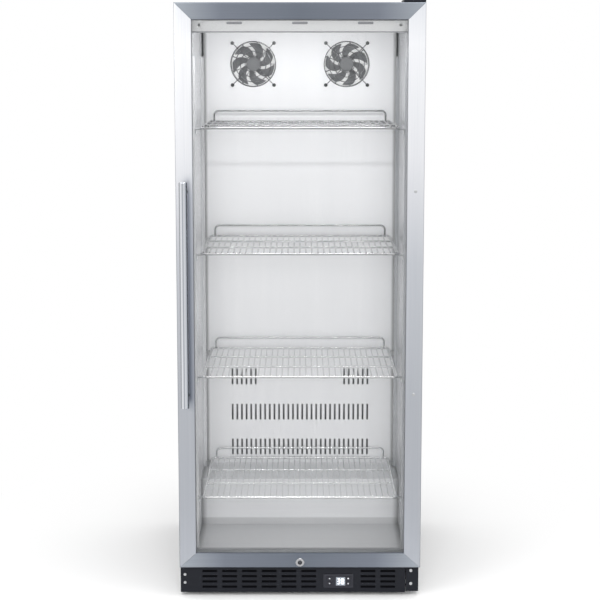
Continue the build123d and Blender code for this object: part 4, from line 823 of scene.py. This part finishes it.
BLADES = 7
BLADE_HUB, BLADE_TIP = 19.5 * MM, 57.0 * MM
BLADE_SWEEP, BLADE_CHORD = 0.62, 0.66     # in radians
BLADE_PITCH, BLADE_THICK = 13.0 * MM, 1.8 * MM
HUB_ROUND = 2.5 * MM
VANES, VANE_GAP = 9, 3.0                  # the gap in degrees
# The vanes glow faintly: painted light, for they are no lamp.
VANE_GLOW_PAINTED = glowing("vane_white_painted_glow", (1.0, 1.0, 1.0), 0.22, (0.88, 0.88, 0.88))
for node, body, hand in (("fan_blade_left", "left_fan", 1), ("fan_blade_right", "right_fan", -1)):
    low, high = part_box(node)
    middle = np.array([(low.x + high.x) / 2, 0.0, (low.z + high.z) / 2])
    deep = min(18.0 * MM, high.y - low.y)
    plane = low.y + deep / 2
    cap = np.concatenate([[(0.05 * MM, -deep / 2)], [(BLADE_HUB * 0.55, -deep / 2)],
                          arc(BLADE_HUB - HUB_ROUND, -deep / 2 + HUB_ROUND, HUB_ROUND, 270, 360, 7),
                          [(BLADE_HUB, deep / 2)], [(0.05 * MM, deep / 2)]])
    grids = [(lathe(cap) + middle + (0, plane, 0), False, True)]
    for k in range(BLADES):
        blade = blade_sheet(BLADE_HUB - 0.8 * MM, BLADE_TIP, TURN * k / BLADES, BLADE_SWEEP, BLADE_CHORD,
                            BLADE_PITCH, BLADE_THICK, hand)
        grids.append((blade + middle + (0, plane, 0), False, True))
    rotor = piece_from(f"moulded_{node}", grids, body, FAN_PLASTIC, 40, caps=True)
    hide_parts(node)
    vanes = []
    for k in range(VANES):
        start, end = 360 / VANES * k + VANE_GAP / 2, 360 / VANES * (k + 1) - VANE_GAP / 2
        outer = arc(middle[0], middle[2], 59.3 * MM, start, end, 14)
        inner = arc(middle[0], middle[2], 18.0 * MM, end, start, 14)
        vanes.append([tuple(p) for p in np.concatenate([outer, inner])])
    flat_shapes(f"guide_vanes_{body}", vanes, plane + deep / 2 + 2.2 * MM, 1.0 * MM, "cabinet", VANE_GLOW_PAINTED)

# %% [markdown]
# ## Small trim: dust filter, closing strip, and painted shade on the header
# Behind the kick grille lies a thin near-black dust filter that keeps lint off the
# condenser; its black is painted shade, and it is what makes the grille's slots look
# black. It stops short of the controller on both sides. A narrow folded strip closes
# the foam's front edge between the grille and the cabinet's face. Along the light
# header's lower edge runs a slim dark strip, painted shade for the shadow gap there,
# and three grey plates in the header's recesses are painted shade in them.

# %% Fit the filter, the strip, and the header's painted shade strip and plates
GRILLE_LOW, GRILLE_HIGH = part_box("kick_grille")
CASE_LOW, CASE_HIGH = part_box("controller_case")


def plate(low_x, high_x, low_z, high_z, corner=1.5 * MM):
    """A rectangle in (x, z) with its corners rounded."""
    left, right, low, high = low_x + corner, high_x - corner, low_z + corner, high_z - corner
    centres = [(right, high), (left, high), (left, low), (right, low)]
    rounds = [arc(x, z, corner, 90 * k, 90 * k + 90, 5) for k, (x, z) in enumerate(centres)]
    return [tuple(point) for point in np.concatenate(rounds)]


filter_plates = [plate(low, high, GRILLE_LOW.z + 2 * MM, GRILLE_HIGH.z - 5 * MM)
                 for low, high in ((GRILLE_LOW.x + 6 * MM, CASE_LOW.x - 1 * MM),
                                   (CASE_HIGH.x + 1 * MM, GRILLE_HIGH.x - 6 * MM))]
# Near-black and matt: the filter's colour is painted shade behind the grille's slots.
FILTER_PAINTED_SHADE = grained("filter_shade_black", (0.004, 0.004, 0.005), 0.95, 0.0012, 0.00030, shine=0.05)
flat_shapes("dust_filter_and_shade", filter_plates, GRILLE_LOW.y + 3.6 * MM, 1.6 * MM, "cabinet", FILTER_PAINTED_SHADE)
FOAM_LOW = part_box("insulation")[0]
STRIP_TOP = DOOR_LOW.z + 2 * MM
closing = [plate(GRILLE_LOW.x, GRILLE_HIGH.x + 1 * MM, GRILLE_HIGH.z - 3 * MM, STRIP_TOP, 0.5 * MM),
           plate(GRILLE_HIGH.x + 0.5 * MM, DOOR_HIGH.x - 0.5 * MM, DOOR_LOW.z - 31 * MM, STRIP_TOP, 0.5 * MM)]
flat_shapes("closing_strip", closing, FOAM_LOW.y - 0.4 * MM, 0.4 * MM, "cabinet", BLACK_COAT)
CAP_LOW, CAP_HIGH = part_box("header_end_caps")
# Painted shade: a dark strip for the shadow gap under the header, and grey plates for the shade in its recesses.
HEADER_PAINTED_SHADE = grained("header_shade_grey", (0.26, 0.265, 0.28), 0.4, 0.0010, 0.00002)
flat_shapes("header_shadow_gap_shade", [plate(CAP_LOW.x, CAP_HIGH.x, CAP_LOW.z - 0.2 * MM, CAP_LOW.z + 2.6 * MM, 0.6 * MM)],
            CAP_LOW.y - 1.0 * MM, 1.0 * MM, "cabinet", HEADER_PAINTED_SHADE)
RECESS_APART, INSERT_HALF = 159 * MM, 19.2 * MM
inserts = [plate(x - INSERT_HALF, x + INSERT_HALF, CAP_HIGH.z - 8.2 * MM, CAP_HIGH.z - 2.3 * MM, 2.9 * MM)
           for x in (-RECESS_APART, 0.0, RECESS_APART)]
flat_shapes("header_recess_shade", inserts, CAP_LOW.y + 1.2 * MM, 0.7 * MM, "cabinet", HEADER_PAINTED_SHADE)

# %% [markdown]
# ## The back
# Pan-head screws with a cross recess hold the machine compartment's cover along its
# edge; each recess is a thin dark cross laid on the head, painted shade for the hollow.
# Above it sits a plain foil plate of the kind that carries the ratings, left
# blank. A pressed bead stiffens the tall back skin: a shallow raised frame whose
# height follows a cosine across its width, so both edges run out flat.

# %% Screw down the cover, press the bead, stick the plate
COVER_LOW, COVER_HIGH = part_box("machine_rear_cover")
SHELL_LOW, SHELL_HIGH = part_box("cabinet_shell")


def screw_head(x, z, face, radius=4.2 * MM, tall=2.2 * MM):
    """A domed head on the plane y = face: radius * cos(t) out, tall * sin(t) proud."""
    t = np.radians(np.linspace(0, 88, 10))
    dome = np.stack([radius * np.cos(t), tall * np.sin(t)], axis=1)
    return lathe(dome) + np.array([x, face, z])


def cross_recess(x, z, arm=2.0 * MM, wide=0.75 * MM):
    """The twelve corners of a cross."""
    a, w = arm, wide / 2
    outline = [(w, w), (w, a), (-w, a), (-w, w), (-a, w), (-a, -w), (-w, -w), (-w, -a), (w, -a), (w, -w),
               (a, -w), (a, w)]
    return [(x + u, z + v) for u, v in outline]


inset = 9 * MM
along = np.linspace(COVER_LOW.x + inset, COVER_HIGH.x - inset, 5)
spots = [(x, z) for x in along for z in (COVER_LOW.z + inset, COVER_HIGH.z - inset)]
back = COVER_HIGH.y
screw_grids = [(screw_head(x, z, back), False, True) for x, z in spots]
piece_from("cover_screws", screw_grids, "cabinet", FASTENER_STEEL, 40, caps=True)
# The dark crosses are painted shade for the recesses in the heads.
flat_shapes("cover_screw_recess_shade", [cross_recess(x, z) for x, z in spots], back + 2.1 * MM, 0.25 * MM,
            "cabinet", NICKEL_AND_RECESS_SHADE)


def bead(low_x, high_x, low_z, high_z, face, wide=16 * MM, tall=2.5 * MM):
    """A raised frame on the plane y = face: tall * (1 + cos) / 2 across its width."""
    share = np.linspace(-1, 1, 13)
    height = tall * (1 + np.cos(np.pi * share)) / 2
    profile = np.stack([(share + 1) / 2 * wide, np.concatenate([[-0.5 * MM], height[1:-1], [-0.5 * MM]])], axis=1)
    low, high = Vector((low_x, face, low_z)), Vector((high_x, face, high_z))
    return ring_of(profile, low, high)


bead_grid = bead(SHELL_LOW.x + 70 * MM, SHELL_HIGH.x - 70 * MM, COVER_HIGH.z + 110 * MM,
                 SHELL_HIGH.z - 90 * MM, SHELL_HIGH.y)
piece_from("pressed_bead", [(bead_grid, True, True)], "cabinet", BLACK_COAT, 60)
rating = plate(SHELL_LOW.x + 190 * MM, SHELL_LOW.x + 290 * MM, COVER_HIGH.z + 22 * MM, COVER_HIGH.z + 82 * MM,
               4 * MM)
flat_shapes("rating_plate", [rating], SHELL_HIGH.y, 0.3 * MM, "cabinet", FASTENER_STEEL)

# %% [markdown]
# ## The controller's face
# The controller shows the cabinet's temperature on two seven-segment digits. Each
# digit is seven slim hexagons, lit or left out. Small raised marks on the push
# buttons tell them apart by touch: up, down, light and defrost.


# %% Light the digits and print the buttons' marks
SEGMENTS = {"3": "abgcd", "8": "abcdefg"}


def segment(x, z, length, wide, upright):
    """A hexagon centred on (x, z), pointed at both ends."""
    half, slim = length / 2, wide / 2
    outline = [(-half, 0), (-half + slim, -slim), (half - slim, -slim), (half, 0), (half - slim, slim),
               (-half + slim, slim)]
    return [(x + b, z + a) if upright else (x + a, z + b) for a, b in outline]


def digit(x, z, wide, tall, value):
    """The hexagons of one digit whose middle is (x, z)."""
    line, half = 1.5 * MM, tall / 4
    places = {"a": (0, 2, False), "b": (1, 1, True), "c": (1, -1, True), "d": (0, -2, False), "e": (-1, -1, True),
              "f": (-1, 1, True), "g": (0, 0, False)}
    shapes = []
    for letter in SEGMENTS[value]:
        side, up, upright = places[letter]
        length = (tall / 2 if upright else wide) - 0.5 * MM
        shapes.append(segment(x + side * wide / 2, z + up * half, length, line, upright))
    return shapes


def disc(x, z, radius, steps=24):
    return [tuple(p) for p in arc(x, z, radius, 0, 360 - 360 / steps, steps)]


WINDOW_LOW, WINDOW_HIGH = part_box("controller_display")
window_x = (WINDOW_LOW.x + WINDOW_HIGH.x) / 2
window_z = (WINDOW_LOW.z + WINDOW_HIGH.z) / 2
lit = [shape for step, value in ((-1, "3"), (1, "8"))
       for shape in digit(window_x + step * 5.0 * MM, window_z, 5.4 * MM, 12.5 * MM, value)]
flat_shapes("lit_digits", lit, WINDOW_LOW.y - 0.12 * MM, 0.12 * MM, "cabinet", DIGITS)
for number in (1, 2, 3, 4):
    low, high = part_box(f"controller_button_{number}")
    x, z = (low.x + high.x) / 2, (low.z + high.z) / 2
    s = 2.1 * MM
    bars = [[(x - s, z + foot), (x + s, z + foot), (x + s, z + head), (x - s, z + head)]
            for foot, head in ((-0.35 * MM, 0.35 * MM), (0.9 * MM, 1.6 * MM), (-1.6 * MM, -0.9 * MM))]
    marks = {1: [[(x - s, z - s * 0.6), (x + s, z - s * 0.6), (x, z + s * 0.9)]],
             2: [[(x - s, z + s * 0.6), (x, z - s * 0.9), (x + s, z + s * 0.6)]],
             3: [disc(x, z, s * 0.9)],
             4: bars}
    flat_shapes(f"button_mark_{number}", marks[number], low.y - 0.1 * MM, 0.15 * MM, f"button_{number}", GLYPH)

# %% [markdown]
# ## The room
# A pale floor takes the refrigerator's shadow and fades into white further out. The
# sky around it is plain white to the eye, to mirrors and through glass, and a little
# softer as light on matt surfaces. A broad soft light hangs front left, a second
# lies overhead, and the strip under the header lights the inside from above, so the
# back wall grows darker towards the compressor step.


# %% Floor, sky and lights
def studio_floor():
    material, tree, shader = new_material("pale_floor", Base_Color=(0.95, 0.95, 0.95, 1.0), Roughness=0.7)
    where = tree.nodes.new("ShaderNodeTexCoord")
    length = tree.nodes.new("ShaderNodeVectorMath")
    length.operation = "LENGTH"
    tree.links.new(where.outputs["Object"], length.inputs[0])
    fade = tree.nodes.new("ShaderNodeMapRange")
    fade.interpolation_type = "SMOOTHSTEP"
    fade.inputs["From Min"].default_value = 0.40
    fade.inputs["From Max"].default_value = 1.10
    tree.links.new(length.outputs["Value"], fade.inputs["Value"])
    white = tree.nodes.new("ShaderNodeEmission")
    mix = tree.nodes.new("ShaderNodeMixShader")
    tree.links.new(fade.outputs["Result"], mix.inputs["Fac"])
    tree.links.new(shader.outputs["BSDF"], mix.inputs[1])
    tree.links.new(white.outputs["Emission"], mix.inputs[2])
    tree.links.new(mix.outputs["Shader"], tree.nodes["Material Output"].inputs["Surface"])
    mesh = bpy.data.meshes.new("floor")
    mesh.from_pydata([(-9, -9, 0), (9, -9, 0), (9, 9, 0), (-9, 9, 0)], [], [(0, 1, 2, 3)])
    mesh.materials.append(material)
    floor = bpy.data.objects.new("floor", mesh)
    bpy.context.collection.objects.link(floor)


def sky(strength):
    """White to camera, mirror and glass rays; strength times white to matt surfaces."""
    world = bpy.data.worlds.new("sky")
    world.use_nodes = True
    bpy.context.scene.world = world
    tree = world.node_tree
    soft = tree.nodes["Background"]
    soft.inputs["Color"].default_value = (1.0, 1.0, 1.0, 1.0)
    soft.inputs["Strength"].default_value = strength
    plain = tree.nodes.new("ShaderNodeBackground")
    plain.inputs["Color"].default_value = (1.0, 1.0, 1.0, 1.0)
    plain.inputs["Strength"].default_value = 1.0
    rays = tree.nodes.new("ShaderNodeLightPath")
    seen = rays.outputs["Is Camera Ray"]
    for kind in ("Is Glossy Ray", "Is Transmission Ray"):
        either = tree.nodes.new("ShaderNodeMath")
        either.operation = "MAXIMUM"
        tree.links.new(seen, either.inputs[0])
        tree.links.new(rays.outputs[kind], either.inputs[1])
        seen = either.outputs["Value"]
    mix = tree.nodes.new("ShaderNodeMixShader")
    tree.links.new(seen, mix.inputs["Fac"])
    tree.links.new(soft.outputs["Background"], mix.inputs[1])
    tree.links.new(plain.outputs["Background"], mix.inputs[2])
    tree.links.new(mix.outputs["Shader"], tree.nodes["World Output"].inputs["Surface"])


def soft_light(name, place, target, size, power):
    """A rectangular soft light at place, turned to face target."""
    light = bpy.data.lights.new(name, "AREA")
    light.shape = "RECTANGLE"
    light.size, light.size_y = size
    light.energy = power
    lamp = bpy.data.objects.new(name, light)
    lamp.location = place
    lamp.rotation_euler = (Vector(target) - Vector(place)).to_track_quat("-Z", "Y").to_euler()
    bpy.context.collection.objects.link(lamp)
    return lamp


studio_floor()
sky(0.66)
soft_light("key", (-2.2, -2.8, 2.4), (0.0, 0.0, 0.8), (1.4, 1.8), 22.0)
soft_light("overhead", (0.2, -0.6, 3.4), (0.0, -0.2, 0.0), (3.0, 3.0), 74.0)
fill = soft_light("front_fill", (0.0, -3.7, 1.1), (0.0, 0.2, 0.7), (1.6, 1.8), 72.0)
fill.visible_glossy = False
HEADER_LOW, HEADER_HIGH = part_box("header_diffuser")
soft_light("header_strip", (0.0, (HEADER_LOW.y + HEADER_HIGH.y) / 2, HEADER_LOW.z - 4 * MM),
           (0.0, HEADER_HIGH.y + 0.22, 0.7), (0.44, 0.022), 1.15)
print("studio ready")
